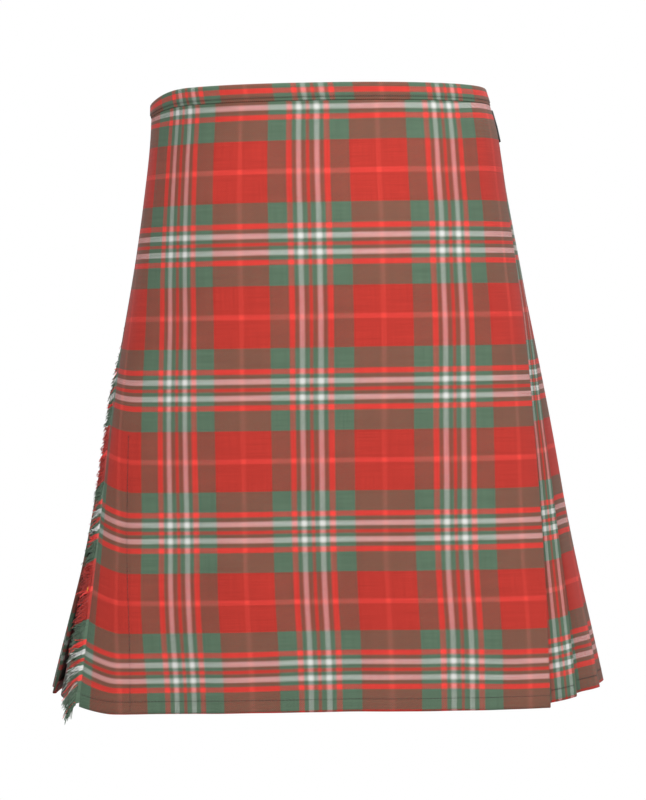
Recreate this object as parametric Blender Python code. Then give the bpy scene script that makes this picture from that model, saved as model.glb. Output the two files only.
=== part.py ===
"""A Scottish kilt, filled out as it is worn: 36 inch waist, 24 inch drop.

One length of tartan is wrapped from the over apron's fringed edge on the wearer's right
hip, across the front, round the back in knife pleats, and on under the over apron as the
under apron. A waistband binds the top edge, and two leather straps close the wrap.

All sizes are in millimetres. Z is up, the front faces -Y, and +X is the wearer's left.
Places on the cloth are given by a level z, an arc length s round the body from the
centre front (towards the wearer's left), and an offset r outwards from the body ring.
"""
import math

import bmesh
import bpy
import numpy as np
from mathutils import Matrix, Vector

MM = 0.001

# ---- driving sizes ----
BAND_TOP = 8.0
BAND_BOTTOM = -9.2
HEM = -596.0
CLOTH = 1.1
LEAF = 1.0
GAP = 0.3
BAND_EASE = 0.15
BAND_SEAT = CLOTH / 2 + GAP + BAND_EASE + LEAF / 2

PLEATS = 24
PLEAT_DEPTH = 1.4
STEP_WAIST = 3.6
STEP_HEM = 7.0
STITCHED_TO = -200.0

APRON_LIFT = 4.2
LIFT_FROM = -150.0
LIFT_TO = -225.0
UNDER_CLEARANCE = 4.6

APRON_COLUMNS = 34

FRINGE_TOP = -12.0
FRINGE_END = -594.0
FRINGE_TUCK = 6.0
FRINGE_WOVEN = 11.0
FRINGE_THICK = 1.0
FRINGE_DROOP = 0.3
FRINGE_SEAT = APRON_LIFT - CLOTH / 2 - 1.5 * GAP - FRINGE_THICK / 2
STRANDS = 110
STRAND_ROOT = 0.55
STRAND_TIP = 0.6
STRAND_REACH = 14.0
STRAND_DROOP = 0.45
STRAND_UNEVEN = 0.25
STRAND_TURN = 2.4

STRAP_WIDTH = 32.0
STRAP_THICK = 2.0
STRAP_LEVEL = -29.0
STRAP_SPACING = 6.0
STRAP_END = 150.0
TIP_WIDTH = 0.25
ON_CLOTH = CLOTH / 2 + GAP + STRAP_THICK / 2
CHAPE_THICK = 1.4
CHAPE_REACH = 36.0
BUCKLE_AT = 80.0
BUCKLE_LENGTH = 24.0
BUCKLE_PLAY = 2.0
CORNER = 3.0
WIRE = 1.3
PRONG = 0.9
BAR_PLAY = 1.0
PRONG_CORNERS = 7
PRONG_TURN = 40.0
CHAPE_SLOT = (13.0, 16.0, 2 * PRONG + 1.2)
PRONG_HOLE = (13.0, 14.0, 3.0)
PRONG_HOLE_AT = 3.0
HEEL_HEIGHT = CLOTH / 2 + GAP + CHAPE_THICK + BAR_PLAY + WIRE
FRONT_HEIGHT = ON_CLOTH + STRAP_THICK / 2 + BAR_PLAY + WIRE
LEAF_HEIGHT = CLOTH / 2 + 2 * GAP + 1.5 * CHAPE_THICK
KEEPER_AT = 24.0
KEEPER_WIDTH = 8.0
KEEPER_THICK = 0.8
STRAP_SLIT = (15.0, 14.0, STRAP_WIDTH + 2)
STRAP_SLIT_AT = (13.0, -3.4)

# How the upper leaf of a chape comes down from the heel bar, how a strap runs over the buckle
# and the chape, and how each strap comes from its sewn end on to the pleats. The t are past
# the bar named, or past the apron's edge; the r are above the height named, or the cloth.
CHAPE_COLUMNS = ("past_heel", "above_leaf")
CHAPE_FALL = ((14.0, 0.0), (9.0, 0.9), (4.0, 2.9))
LOOP_COLUMNS = ("past_heel", "above_loop")
PAST_FRONT = 2.0
LOOP_RUN = ((-2.0, 0.0), (5.0, -0.4))
KEEPER_RUN = 15.0
CHAPE_STEP = 12.0
TIP_LENGTH = 14.0
LEFT_SEWN = -60.0
LEFT_SLIT = (5.0, 19.0)
RIGHT_SEWN = (-10.0, 2.0)
FALL_COLUMNS = ("past_edge", "above_cloth")
RIGHT_FALL = ((10.0, 4.9), (24.0, 4.7), (41.0, ON_CLOTH))
RING_POINTS = 720
OUTLINE_POINTS = 2880
NORMAL_REACH = 3

# The body ring at each level: an oval whose front and back have their own depths. The
# front grows squarer towards the hem, where the aprons hang flat.
RING_COLUMNS = ("z", "shift", "half_width", "front", "back", "front_square")
RINGS = (
    (8, -3.5, 165.5, 112, 112, 2.2),
    (-30, 1.5, 171.8, 113, 113, 2.2),
    (-100, 2.5, 181.2, 120, 122, 2.25),
    (-200, 2.9, 198.4, 128, 138, 2.35),
    (-320, 0.1, 222.9, 134, 150, 2.5),
    (-450, -1.3, 246.7, 141, 162, 2.6),
    (-596, -5.2, 280.2, 150, 178, 2.6),
)
BACK_SQUARE = 2.1

# Where the edges of the wrapped cloth lie, as arc lengths from the centre front.
EDGE_COLUMNS = ("z", "over_left", "over_right", "last_pleat")
EDGES = (
    (8, -250, 213, -238),
    (-30, -253, 214, -241),
    (-100, -254, 216, -242),
    (-200, -251, 217, -239),
    (-320, -239, 217, -227),
    (-450, -242.5, 218.5, -230.5),
    (-596, -252, 222.5, -240),
)
UNDER_RIGHT = 204.0

# The soft top edge sinks a little on the wearer's right hip, between these arc lengths, and
# rises again evenly over the last pleats.
DIP = 10.0
DIP_STARTS = -128.0
DIP_LOWEST = -216.0
DIP_POWER = 1.6
DIP_PLEATS = 2
DIP_BELOW = -34.0

CLOTH_LEVELS = (BAND_TOP - LEAF - GAP, -12, -100, -200, -320, -450, -540, HEM)

COLOURS = {
    "tartan": ((0.42, 0.05, 0.04, 1), 0.9, 0.0),
    "tartan_shade": ((0.10, 0.20, 0.13, 1), 0.9, 0.0),
    "yarn": ((0.36, 0.08, 0.06, 1), 0.95, 0.0),
    "leather": ((0.012, 0.011, 0.011, 1), 0.45, 0.0),
    "nickel": ((0.62, 0.61, 0.58, 1), 0.25, 1.0),
}


def clear_scene():
    for old in list(bpy.data.objects):
        bpy.data.objects.remove(old, do_unlink=True)


def collection(name):
    made = bpy.data.collections.new(name)
    bpy.context.scene.collection.children.link(made)
    return made


def material(name):
    found = bpy.data.materials.get(name)
    if found:
        return found
    colour, roughness, metallic = COLOURS[name]
    made = bpy.data.materials.new(name)
    made.use_nodes = True
    shader = made.node_tree.nodes["Principled BSDF"]
    shader.inputs["Base Color"].default_value = colour
    shader.inputs["Roughness"].default_value = roughness
    shader.inputs["Metallic"].default_value = metallic
    made.diffuse_color = colour
    return made


# ---- the body ring ----
def smooth_row(table, columns, z):
    """The table's values at a level, on a smooth curve through its rows."""
    rows = np.array(table, float)
    at, values = rows[::-1, 0], rows[::-1, 1:]
    slopes = np.gradient(values, at, axis=0)
    k = int(np.clip(np.searchsorted(at, z) - 1, 0, len(at) - 2))
    width = at[k + 1] - at[k]
    t = min(max((z - at[k]) / width, 0.0), 1.0)
    value = (
        (1 + 2 * t) * (1 - t) ** 2 * values[k]
        + t * (1 - t) ** 2 * width * slopes[k]
        + t * t * (3 - 2 * t) * values[k + 1]
        + t * t * (t - 1) * width * slopes[k + 1]
    )
    return dict(zip(columns[1:], value))


class Ring:
    """The closed curve round the body at one level, measured by arc length."""

    known = {}

    def __init__(self, z):
        size = smooth_row(RINGS, RING_COLUMNS, z)
        turn = np.linspace(0, 2 * math.pi, OUTLINE_POINTS + 1)
        across, ahead = np.sin(turn), np.cos(turn)
        square = np.where(ahead > 0, size["front_square"], BACK_SQUARE)
        depth = np.where(ahead > 0, size["front"], size["back"])
        x = size["shift"] + size["half_width"] * np.sign(across) * abs(across) ** (2 / square)
        y = -depth * np.sign(ahead) * abs(ahead) ** (2 / square)
        walked = np.r_[0, np.cumsum(np.hypot(np.diff(x), np.diff(y)))]
        self.length = walked[-1]
        self.at = np.linspace(0, self.length, RING_POINTS + 1)
        self.x = np.interp(self.at, walked, x)
        self.y = np.interp(self.at, walked, y)
        spots = np.arange(RING_POINTS + 1)
        before, after = (spots - NORMAL_REACH) % RING_POINTS, (spots + NORMAL_REACH) % RING_POINTS
        dx = self.x[after] - self.x[before]
        dy = self.y[after] - self.y[before]
        span = np.hypot(dx, dy)
        self.nx, self.ny = dy / span, -dx / span

    @classmethod
    def at_level(cls, z):
        if z not in cls.known:
            cls.known[z] = cls(z)
        return cls.known[z]

    def point(self, s, r):
        s = s % self.length
        nx = np.interp(s, self.at, self.nx)
        ny = np.interp(s, self.at, self.ny)
        x = np.interp(s, self.at, self.x)
        y = np.interp(s, self.at, self.y)
        return float(x + r * nx), float(y + r * ny)


def side_dip(z, s):
    """How far the top edge sinks at a level and an arc length."""
    length = Ring.at_level(z).length
    edge = edges(z)
    pitch = (length + edge["last_pleat"] - edge["over_right"]) / PLEATS
    s = (s + length / 2) % length - length / 2
    risen = min(max((edge["last_pleat"] - s) / (DIP_PLEATS * pitch), 0.0), 1.0)
    return DIP * ramp(s, DIP_STARTS, DIP_LOWEST) ** DIP_POWER * (1 - risen) * ramp(z, DIP_BELOW, BAND_TOP)


def place(z, s, r):
    x, y = Ring.at_level(z).point(s, r)
    return Vector((x, y, z - side_dip(z, s))) * MM


def hung(z, spot):
    """A place at any z, straight between the cloth levels next to it.

    spot(level) gives the (s, r) that the place has at each of those levels.
    """
    low = next((level for level in CLOTH_LEVELS[1:] if level <= z), HEM)
    high = CLOTH_LEVELS[CLOTH_LEVELS.index(low) - 1]
    share = (high - z) / (high - low)
    return place(high, *spot(high)).lerp(place(low, *spot(low)), share)


def edges(z):
    return smooth_row(EDGES, EDGE_COLUMNS, z)


def ramp(value, start, end):
    """0 at start, 1 at end, eased at both ends."""
    t = min(max((value - start) / (end - start), 0.0), 1.0)
    return t * t * (3 - 2 * t)


# ---- walls of cloth ----
def wall_object(name, skin, lining, material_name, home, folded=()):
    """A closed wall between two grids of points, [row][column], outer and inner.

    Every strip between two columns is split along the same slant; folded lists the
    strips that run back, so that layers lying on each other keep the same facets.
    """
    rows, columns = len(skin), len(skin[0])
    bm = bmesh.new()
    outer = [[bm.verts.new(p) for p in row] for row in skin]
    inner = [[bm.verts.new(p) for p in row] for row in lining]
    for side in (outer, inner):
        for j in range(rows - 1):
            for k in range(columns - 1):
                a, b = side[j][k], side[j + 1][k]
                c, d = side[j + 1][k + 1], side[j][k + 1]
                for corners in ((a, b, d), (b, c, d)) if k in folded else ((a, b, c), (a, c, d)):
                    bm.faces.new(corners if side is outer else corners[::-1])
    for k in range(columns - 1):
        bm.faces.new((outer[0][k], outer[0][k + 1], inner[0][k + 1], inner[0][k]))
        bm.faces.new((outer[-1][k + 1], outer[-1][k], inner[-1][k], inner[-1][k + 1]))
    for j in range(rows - 1):
        bm.faces.new((outer[j + 1][0], outer[j][0], inner[j][0], inner[j + 1][0]))
        bm.faces.new((outer[j][-1], outer[j + 1][-1], inner[j + 1][-1], inner[j][-1]))
    return finished(name, bm, material_name, home)


def finished(name, bm, material_name, home):
    bmesh.ops.recalc_face_normals(bm, faces=bm.faces)
    mesh = bpy.data.meshes.new(name)
    bm.to_mesh(mesh)
    bm.free()
    made = bpy.data.objects.new(name, mesh)
    mesh.materials.append(material(material_name))
    home.objects.link(made)
    return made


def cloth_wall(name, levels, course, material_name, home):
    """A wall that follows course(z): a list of (s, r, facing, lean) across the cloth.

    facing is +1 where the cloth's right side looks outwards and -1 where it is folded
    back; lean moves the two sides apart along s instead, at the tip of a fold.
    """
    skin, lining = [], []
    half = CLOTH / 2
    for z in levels:
        spots = course(z)
        skin.append([place(z, s + lean * half, r + facing * half) for s, r, facing, lean in spots])
        lining.append([place(z, s - lean * half, r - facing * half) for s, r, facing, lean in spots])
    folded = {k for k in range(len(spots) - 1) if spots[k + 1][0] < spots[k][0]}
    return wall_object(name, skin, lining, material_name, home, folded)


# ---- the pleated length of cloth ----
def pleat_step(z):
    return STEP_WAIST + (STEP_HEM - STEP_WAIST) * ramp(z, STITCHED_TO, HEM)


def pleat_start(z, turns):
    """Arc length of the fold edge numbered turns; 0 is the over apron's own fold."""
    edge = edges(z)
    first = edge["over_right"]
    last = Ring.at_level(z).length + edge["last_pleat"]
    return first + turns * (last - first) / PLEATS


def face_offset(z, number, turns):
    return -pleat_step(z) * (number - turns)


def fold_back(z, number, upto):
    """The tip of fold edge number, and the return beneath it as far as upto."""
    step = pleat_step(z)
    edge = pleat_start(z, number)
    inset = step / 4 + GAP
    spots = [(edge, -step / 4, 0, 1)]
    spots.append((edge - inset, -step / 2, -1, 0))
    for turns in (number - 0.5, number - 1.0):
        spots.append((pleat_start(z, turns), face_offset(z, number, turns) - step / 2, -1, 0))
    spots.append((pleat_start(z, upto), face_offset(z, number, upto) - step / 2, -1, 0))
    return spots


def pleat_course(z):
    """Every pleat in turn: hidden face, shown face, fold edge, return, inner fold."""
    step = pleat_step(z)
    inset = step / 4 + GAP
    spots = []
    for number in range(1, PLEATS + 1):
        inner = number - 1 - PLEAT_DEPTH
        inner_edge = pleat_start(z, inner)
        if number > 1:
            spots.append((inner_edge - inset / 2, face_offset(z, number, inner) + step / 4, 0, 1))
        spots.append((inner_edge + inset, face_offset(z, number, inner), 1, 0))
        for turns in (number - 2.0, number - 1.5, number - 1.0, number - 0.5):
            spots.append((pleat_start(z, turns), face_offset(z, number, turns), 1, 0))
        spots.append((pleat_start(z, number) - inset, 0.0, 1, 0))
        back = fold_back(z, number, number - PLEAT_DEPTH)
        last = back[-1]
        if number < PLEATS:
            back[-1] = (last[0] + inset, last[1], -1, 0)
        spots.extend(back)
    return spots


# ---- the two aprons ----
def over_offset(z, s):
    """The over apron rises at its left edge to lie on the last pleat's fold."""
    return APRON_LIFT * ramp(s, LIFT_FROM, LIFT_TO)


def even_steps(start, end, count):
    return [start + (end - start) * k / count for k in range(count + 1)]


def over_columns(z):
    """Arc lengths across the over apron's face: its edge, the fringe's seam, and so on."""
    edge = edges(z)
    seam = edge["over_left"] + FRINGE_TUCK
    fold = edge["over_right"] - pleat_step(z) / 4 - GAP
    return [edge["over_left"]] + even_steps(seam, fold, APRON_COLUMNS)


def over_course(z):
    face = [(s, over_offset(z, s), 1, 0) for s in over_columns(z)]
    return face + fold_back(z, 0, -PLEAT_DEPTH)


def pile_depth(z):
    return (PLEAT_DEPTH + 1) * pleat_step(z)


def under_offset(z, s):
    """s is counted from the centre front, so it is below zero on the wearer's right."""
    seam = -(PLEAT_DEPTH + 0.5) * pleat_step(z) - CLOTH - GAP
    settled = -pile_depth(z) - UNDER_CLEARANCE
    last = edges(z)["last_pleat"]
    return seam + (settled - seam) * ramp(s, last - 10, last + 35)


def under_columns(z):
    """Arc lengths across the under apron, from its seam to its free edge."""
    length = Ring.at_level(z).length
    seam = [pleat_start(z, PLEATS - turns) - length for turns in (PLEAT_DEPTH, 1, 0.5)]
    last = edges(z)["last_pleat"]
    return seam + even_steps(last, UNDER_RIGHT, APRON_COLUMNS)


def under_course(z):
    return [(s, under_offset(z, s), 1, 0) for s in under_columns(z)]


# ---- waistband ----
def band_spots(z):
    """Arc length, outer leaf and inner leaf of the band, from fringe edge to under apron."""
    last = edges(z)["last_pleat"]
    pile = -pile_depth(z) - BAND_SEAT
    buried = pleat_start(z, -PLEAT_DEPTH)
    settled = under_offset(z, 0) + BAND_SEAT
    spots = []
    for s in over_columns(z):
        middle = over_offset(z, s)
        inner = middle - BAND_SEAT
        inner += (pile - inner) * ramp(s, buried - 30, buried - 6)
        spots.append((s, middle + BAND_SEAT, inner))
    for number in range(PLEATS):
        spots.append((pleat_start(z, number), BAND_SEAT, pile))
    for s in under_columns(z)[3:]:
        outer = BAND_SEAT + (settled - BAND_SEAT) * ramp(s, last + 2, last + 37)
        spots.append((s, outer, min(pile, under_offset(z, s) - BAND_SEAT)))
    return spots


def waistband(home):
    half = LEAF / 2
    spots = {level: band_spots(level) for level in CLOTH_LEVELS[:2]}

    def row(z, leaf, shift):
        def spot(level, k):
            return spots[level][k][0], spots[level][k][leaf] + shift

        count = len(spots[CLOTH_LEVELS[0]])
        return [hung(z, lambda level, k=k: spot(level, k)) for k in range(count)]

    ceiling = BAND_TOP - LEAF
    skin = [row(BAND_BOTTOM, 1, half), row(BAND_TOP, 1, half)]
    skin += [row(BAND_TOP, 2, -half), row(BAND_BOTTOM, 2, -half)]
    lining = [row(BAND_BOTTOM, 1, -half), row(ceiling, 1, -half)]
    lining += [row(ceiling, 2, half), row(BAND_BOTTOM, 2, half)]
    return wall_object("waistband", skin, lining, "tartan", home)


# ---- fringe ----
def fringe_place(v, w, lift):
    """A spot w mm out from the over apron's edge, drooping as it goes out."""
    woven = min(max(w, 0), FRINGE_WOVEN)
    loose = max(w - FRINGE_WOVEN, 0)
    z = v - woven * FRINGE_DROOP - loose * STRAND_DROOP
    return hung(z, lambda level: (edges(level)["over_left"] - w, FRINGE_SEAT + lift))


def fringe_strip(home):
    """A narrow woven backing whose outer edge is drawn out into loose strands."""
    pitch = (FRINGE_TOP - FRINGE_END) / STRANDS
    half = FRINGE_THICK / 2
    rows = []
    for number in range(STRANDS):
        high = FRINGE_TOP - number * pitch
        rows += [high, high - STRAND_ROOT * pitch]
    corners = ((-FRINGE_TUCK, half), (FRINGE_WOVEN, half), (FRINGE_WOVEN, -half), (-FRINGE_TUCK, -half))
    bm = bmesh.new()
    grid = [[bm.verts.new(fringe_place(v, w, lift)) for w, lift in corners] for v in rows]
    bm.faces.new(grid[0])
    bm.faces.new(grid[-1][::-1])
    for j in range(len(rows) - 1):
        for k in range(4):
            root = (grid[j][k], grid[j + 1][k], grid[j + 1][(k + 1) % 4], grid[j][(k + 1) % 4])
            if k == 1 and j % 2 == 0:
                strand(bm, root, (rows[j] + rows[j + 1]) / 2, STRAND_ROOT * pitch, j // 2)
            else:
                bm.faces.new(root)
    return finished("fringe_strip", bm, "yarn", home)


def strand(bm, root, v, height, number):
    """One loose strand, drawn from its root on the backing to a finer tip."""
    reach = FRINGE_WOVEN + STRAND_REACH * (1 + STRAND_UNEVEN * math.sin(number * STRAND_TURN))
    size = STRAND_TIP * height / 2
    lift = STRAND_TIP * FRINGE_THICK / 2
    spots = ((v + size, lift), (v - size, lift), (v - size, -lift), (v + size, -lift))
    tip = [bm.verts.new(fringe_place(at, reach, out)) for at, out in spots]
    for k in range(4):
        nxt = (k + 1) % 4
        bm.faces.new((root[k], root[nxt], tip[nxt], tip[k]))
    bm.faces.new(tip)


# ---- leather and buckles ----
class Closure:
    """Places on a strap's run: t mm along it from where it leaves the apron's edge."""

    def __init__(self, name, start, direction, home):
        self.name, self.start, self.direction, self.home = name, start, direction, home

    def spot(self, t, r, z=0.0):
        """The width runs straight down the flare, so arc lengths grow with the ring."""
        s = self.start + self.direction * t
        length = Ring.at_level(STRAP_LEVEL).length
        return hung(STRAP_LEVEL + z, lambda level: (s * Ring.at_level(level).length / length, r))

    def frame(self, t, r):
        """Axes at a spot: X along the strap, Y outwards, Z along its width."""
        return self.axes((t - 1, r), (t + 1, r))

    def axes(self, start, end):
        """Axes midway between two spots (t, r), with X from the first to the second."""
        first, second = self.spot(*start), self.spot(*end)
        along = (second - first).normalized()
        up = self.spot(*end, 1) - self.spot(*end, -1)
        outward = (along.cross(up) * self.direction).normalized()
        matrix = Matrix((along, outward, along.cross(outward))).transposed().to_4x4()
        matrix.translation = (first + second) / 2
        return matrix


def ribbon(closure, part, path, width, thick, tip=0.0):
    """A band of leather along path, a list of (t, r), with an optional pointed tip."""
    points = [Vector(p) for p in path]
    skin, lining = [[] for _ in range(3)], [[] for _ in range(3)]
    for k, here in enumerate(points):
        before, after = points[max(k - 1, 0)], points[min(k + 1, len(points) - 1)]
        along = (after - before).normalized()
        out = Vector((-along.y, along.x)) * thick / 2
        left = points[-1].x - here.x
        half = width / 2
        if tip and left < tip:
            half *= TIP_WIDTH + (1 - TIP_WIDTH) * math.sqrt(left / tip)
        for row, z in enumerate((half, 0, -half)):
            skin[row].append(closure.spot(here.x + out.x, here.y + out.y, z))
            lining[row].append(closure.spot(here.x - out.x, here.y - out.y, z))
    return wall_object(f"{part}_{closure.name}", skin, lining, "leather", closure.home)


def eased_path(knots, spacing):
    """Points along knots (t, r), with r eased between one knot and the next."""
    path = []
    for (t0, r0), (t1, r1) in zip(knots, knots[1:]):
        count = max(1, round((t1 - t0) / spacing))
        for k in range(count):
            share = k / count
            path.append((t0 + (t1 - t0) * share, r0 + (r1 - r0) * ramp(share, 0, 1)))
    return path + [knots[-1]]


def wire(name, points, matrix, radius, cyclic, home):
    curve = bpy.data.curves.new(name, "CURVE")
    curve.dimensions = "3D"
    curve.bevel_depth = radius * MM
    curve.bevel_resolution = 1
    curve.use_fill_caps = True
    line = curve.splines.new("POLY")
    line.points.add(len(points) - 1)
    for point, co in zip(line.points, points):
        point.co = (*(Vector(co) * MM), 1)
    line.use_cyclic_u = cyclic
    curve.materials.append(material("nickel"))
    made = bpy.data.objects.new(name, curve)
    made.matrix_world = matrix
    home.objects.link(made)
    return made


def block(name, matrix, centre, size, home):
    """A box at centre in the axes of matrix."""
    bpy.ops.mesh.primitive_cube_add(size=1)
    made = bpy.context.object
    made.name = name
    made.data.name = name
    for old in list(made.users_collection):
        old.objects.unlink(made)
    home.objects.link(made)
    made.matrix_world = (
        matrix @ Matrix.Translation(Vector(centre) * MM) @ Matrix.Diagonal((*(Vector(size) * MM), 1))
    )
    return made


def cut(target, cutter):
    cutter.hide_render = True
    cutter.display_type = "WIRE"
    hole = target.modifiers.new(cutter.name, "BOOLEAN")
    hole.operation = "DIFFERENCE"
    hole.solver = "EXACT"
    hole.object = cutter


def buckle(closure, cutters):
    """Frame, prong, chape and keeper of one closure, at BUCKLE_AT along the strap."""
    name, home = closure.name, closure.home
    heel, front = BUCKLE_AT + BUCKLE_LENGTH / 2, BUCKLE_AT - BUCKLE_LENGTH / 2
    half = STRAP_WIDTH / 2 + GAP + WIRE + BUCKLE_PLAY
    metal = closure.axes((front, FRONT_HEIGHT), (heel, HEEL_HEIGHT))
    reach = (closure.spot(heel, HEEL_HEIGHT) - closure.spot(front, FRONT_HEIGHT)).length / 2 / MM
    outline = []
    for sx, sz in ((1, 1), (-1, 1), (-1, -1), (1, -1)):
        turns = ((1, 0), (0.3, 0.3), (0, 1))
        for in_x, in_z in turns if sx * sz > 0 else turns[::-1]:
            outline.append((sx * (reach - in_z * CORNER), 0, sz * (half - in_x * CORNER)))
    wire(f"buckle_frame_{name}", outline, metal, WIRE, True, home)

    loop = (WIRE + GAP + PRONG) / math.cos(math.radians(PRONG_TURN / 2))
    points = []
    for k in range(PRONG_CORNERS):
        angle = math.radians((k - PRONG_CORNERS // 2 - 1) * PRONG_TURN)
        points.append((reach + loop * math.cos(angle), loop * math.sin(angle), 0))
    points.append((-reach - WIRE, WIRE + GAP + PRONG, 0))
    wire(f"buckle_prong_{name}", points, metal, PRONG, False, home)

    turn_radius = WIRE + BAR_PLAY + CHAPE_THICK / 2
    low, leaf = HEEL_HEIGHT - turn_radius, LEAF_HEIGHT
    path = [(heel + CHAPE_REACH, low), (heel + CHAPE_REACH / 2, low), (heel + 2 * turn_radius, low)]
    for degrees in (-90, -135, -180, -225, -270):
        angle = math.radians(degrees)
        path.append((heel + turn_radius * math.cos(angle), HEEL_HEIGHT + turn_radius * math.sin(angle)))
    path += [(heel + past, leaf + above) for past, above in CHAPE_FALL[::-1]]
    path.append((heel + CHAPE_REACH, leaf))
    chape = ribbon(closure, "chape", path[::-1], STRAP_WIDTH, CHAPE_THICK)
    slot = block(f"chape_slot_{name}", metal, (reach, 0, 0), CHAPE_SLOT, cutters)
    cut(chape, slot)

    keeper_at = closure.frame(heel + KEEPER_AT, leaf + CHAPE_THICK / 2 + GAP)
    keeper_height = STRAP_THICK + 2 * GAP + 2 * KEEPER_THICK
    size = (KEEPER_WIDTH, keeper_height, STRAP_WIDTH + 4 * GAP + 2 * KEEPER_THICK)
    keeper = block(f"keeper_{name}", keeper_at, (0, keeper_height / 2, 0), size, home)
    keeper.data.materials.append(material("leather"))
    opening = (KEEPER_WIDTH + 2, STRAP_THICK + 2 * GAP, STRAP_WIDTH + 4 * GAP)
    cut(keeper, block(f"keeper_gap_{name}", keeper_at, (0, keeper_height / 2, 0), opening, cutters))


def strap(closure, root, cutters):
    """The strap from its sewn root, under the buckle's front bar and over its heel."""
    heel, front = BUCKLE_AT + BUCKLE_LENGTH / 2, BUCKLE_AT - BUCKLE_LENGTH / 2
    over_heel = HEEL_HEIGHT + WIRE + BAR_PLAY + CHAPE_THICK + GAP + STRAP_THICK / 2
    in_keeper = LEAF_HEIGHT + CHAPE_THICK / 2 + 2 * GAP + KEEPER_THICK + STRAP_THICK / 2
    knots = root + [(front + PAST_FRONT, ON_CLOTH)]
    knots += [(heel + past, over_heel + above) for past, above in LOOP_RUN]
    knots += [
        (heel + KEEPER_RUN, in_keeper),
        (heel + CHAPE_REACH, in_keeper),
        (heel + CHAPE_REACH + CHAPE_STEP, ON_CLOTH),
        (STRAP_END, ON_CLOTH),
    ]
    path = eased_path(knots, STRAP_SPACING)
    made = ribbon(closure, "strap", path, STRAP_WIDTH, STRAP_THICK, TIP_LENGTH)
    prong_hole = closure.frame(BUCKLE_AT + PRONG_HOLE_AT, HEEL_HEIGHT + WIRE + PRONG)
    cut(made, block(f"prong_hole_{closure.name}", prong_hole, (0, 0, 0), PRONG_HOLE, cutters))
    return made


def main():
    clear_scene()
    kilt = collection("scottish_kilt")
    cutters = collection("cutters")
    cloth_wall("over_apron", CLOTH_LEVELS, over_course, "tartan", kilt)
    pleats = cloth_wall("pleats", CLOTH_LEVELS, pleat_course, "tartan_shade", kilt)
    cloth_wall("under_apron", CLOTH_LEVELS, under_course, "tartan", kilt)
    waistband(kilt)
    fringe_strip(kilt)

    left = Closure("left", edges(STRAP_LEVEL)["over_right"], 1, kilt)
    buried = under_offset(STRAP_LEVEL, 0) + CLOTH / 2 + GAP + STRAP_THICK / 2
    strap(left, [(LEFT_SEWN, buried), (LEFT_SLIT[0], buried), (LEFT_SLIT[1], ON_CLOTH)], cutters)
    buckle(left, cutters)
    slit = block("strap_slit", left.frame(*STRAP_SLIT_AT), (0, 0, 0), STRAP_SLIT, cutters)
    cut(pleats, slit)

    right = Closure("right", edges(STRAP_LEVEL)["over_left"], -1, kilt)
    on_apron = APRON_LIFT + CLOTH / 2 + GAP + STRAP_THICK / 2
    sewn = [(t, on_apron) for t in RIGHT_SEWN]
    strap(right, sewn + list(RIGHT_FALL), cutters)
    buckle(right, cutters)


main()
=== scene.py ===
import math
import random

import bpy
import numpy as np
from mathutils import Matrix, Vector


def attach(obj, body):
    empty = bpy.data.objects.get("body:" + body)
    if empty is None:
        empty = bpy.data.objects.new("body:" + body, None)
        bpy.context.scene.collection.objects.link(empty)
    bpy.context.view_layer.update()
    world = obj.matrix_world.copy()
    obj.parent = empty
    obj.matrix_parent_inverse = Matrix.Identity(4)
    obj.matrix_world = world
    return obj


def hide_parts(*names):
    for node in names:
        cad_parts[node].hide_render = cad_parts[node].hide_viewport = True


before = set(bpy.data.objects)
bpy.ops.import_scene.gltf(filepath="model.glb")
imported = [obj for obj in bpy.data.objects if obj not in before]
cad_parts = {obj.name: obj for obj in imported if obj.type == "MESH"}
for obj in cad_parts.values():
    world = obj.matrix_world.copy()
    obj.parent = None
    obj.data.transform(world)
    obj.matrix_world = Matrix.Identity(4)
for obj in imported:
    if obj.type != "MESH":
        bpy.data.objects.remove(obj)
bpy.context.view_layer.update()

# ---- The studio ----
# The kilt hangs at the height of a waist above a pale floor. It is seen from in front through
# a long lens a little above its middle, with a soft light on either side and one behind.
FOCAL_PIXELS, PICTURE_HEIGHT, HORIZON_ABOVE_MIDDLE = 2362, 800, 100
CAMERA_AT, ROLL = (-0.0055, -2.4, -0.202), 0.0166
FLOOR, FLOOR_SIDE, FLOOR_FRONT, FLOOR_BACK = -1.06, 2, -2, 1.4
MIDDLE = (0, 0, -0.3)
AMBIENT = 0.12

lens = bpy.data.cameras.new("camera")
lens.sensor_width = 36
lens.lens = lens.sensor_width * FOCAL_PIXELS / PICTURE_HEIGHT
lens.clip_end = 60
camera = bpy.data.objects.new("camera", lens)
bpy.context.scene.collection.objects.link(camera)
camera.matrix_world = (
    Matrix.Translation(CAMERA_AT)
    @ Matrix.Rotation(math.pi / 2 - math.atan(HORIZON_ABOVE_MIDDLE / FOCAL_PIXELS), 4, "X")
    @ Matrix.Rotation(-ROLL, 4, "Z")
)
bpy.context.scene.camera = camera
bpy.context.scene.view_settings.view_transform = "Standard"


def new_piece(name, points, faces):
    """A smooth mesh of these points and faces, put in the scene."""
    mesh = bpy.data.meshes.new(name)
    mesh.from_pydata(points, [], faces)
    mesh.polygons.foreach_set("use_smooth", [True] * len(faces))
    made = bpy.data.objects.new(name, mesh)
    bpy.context.scene.collection.objects.link(made)
    return made


corners = ((-1, FLOOR_FRONT), (1, FLOOR_FRONT), (1, FLOOR_BACK), (-1, FLOOR_BACK))
floor = new_piece("floor", [(side * FLOOR_SIDE, y, FLOOR) for side, y in corners], [(0, 1, 2, 3)])
pale = bpy.data.materials.new("pale_floor")
pale.use_nodes = True
matt = pale.node_tree.nodes["Principled BSDF"]
matt.inputs["Base Color"].default_value = (0.85, 0.85, 0.85, 1)
matt.inputs["Roughness"].default_value = 0.9
floor.data.materials.append(pale)


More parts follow.
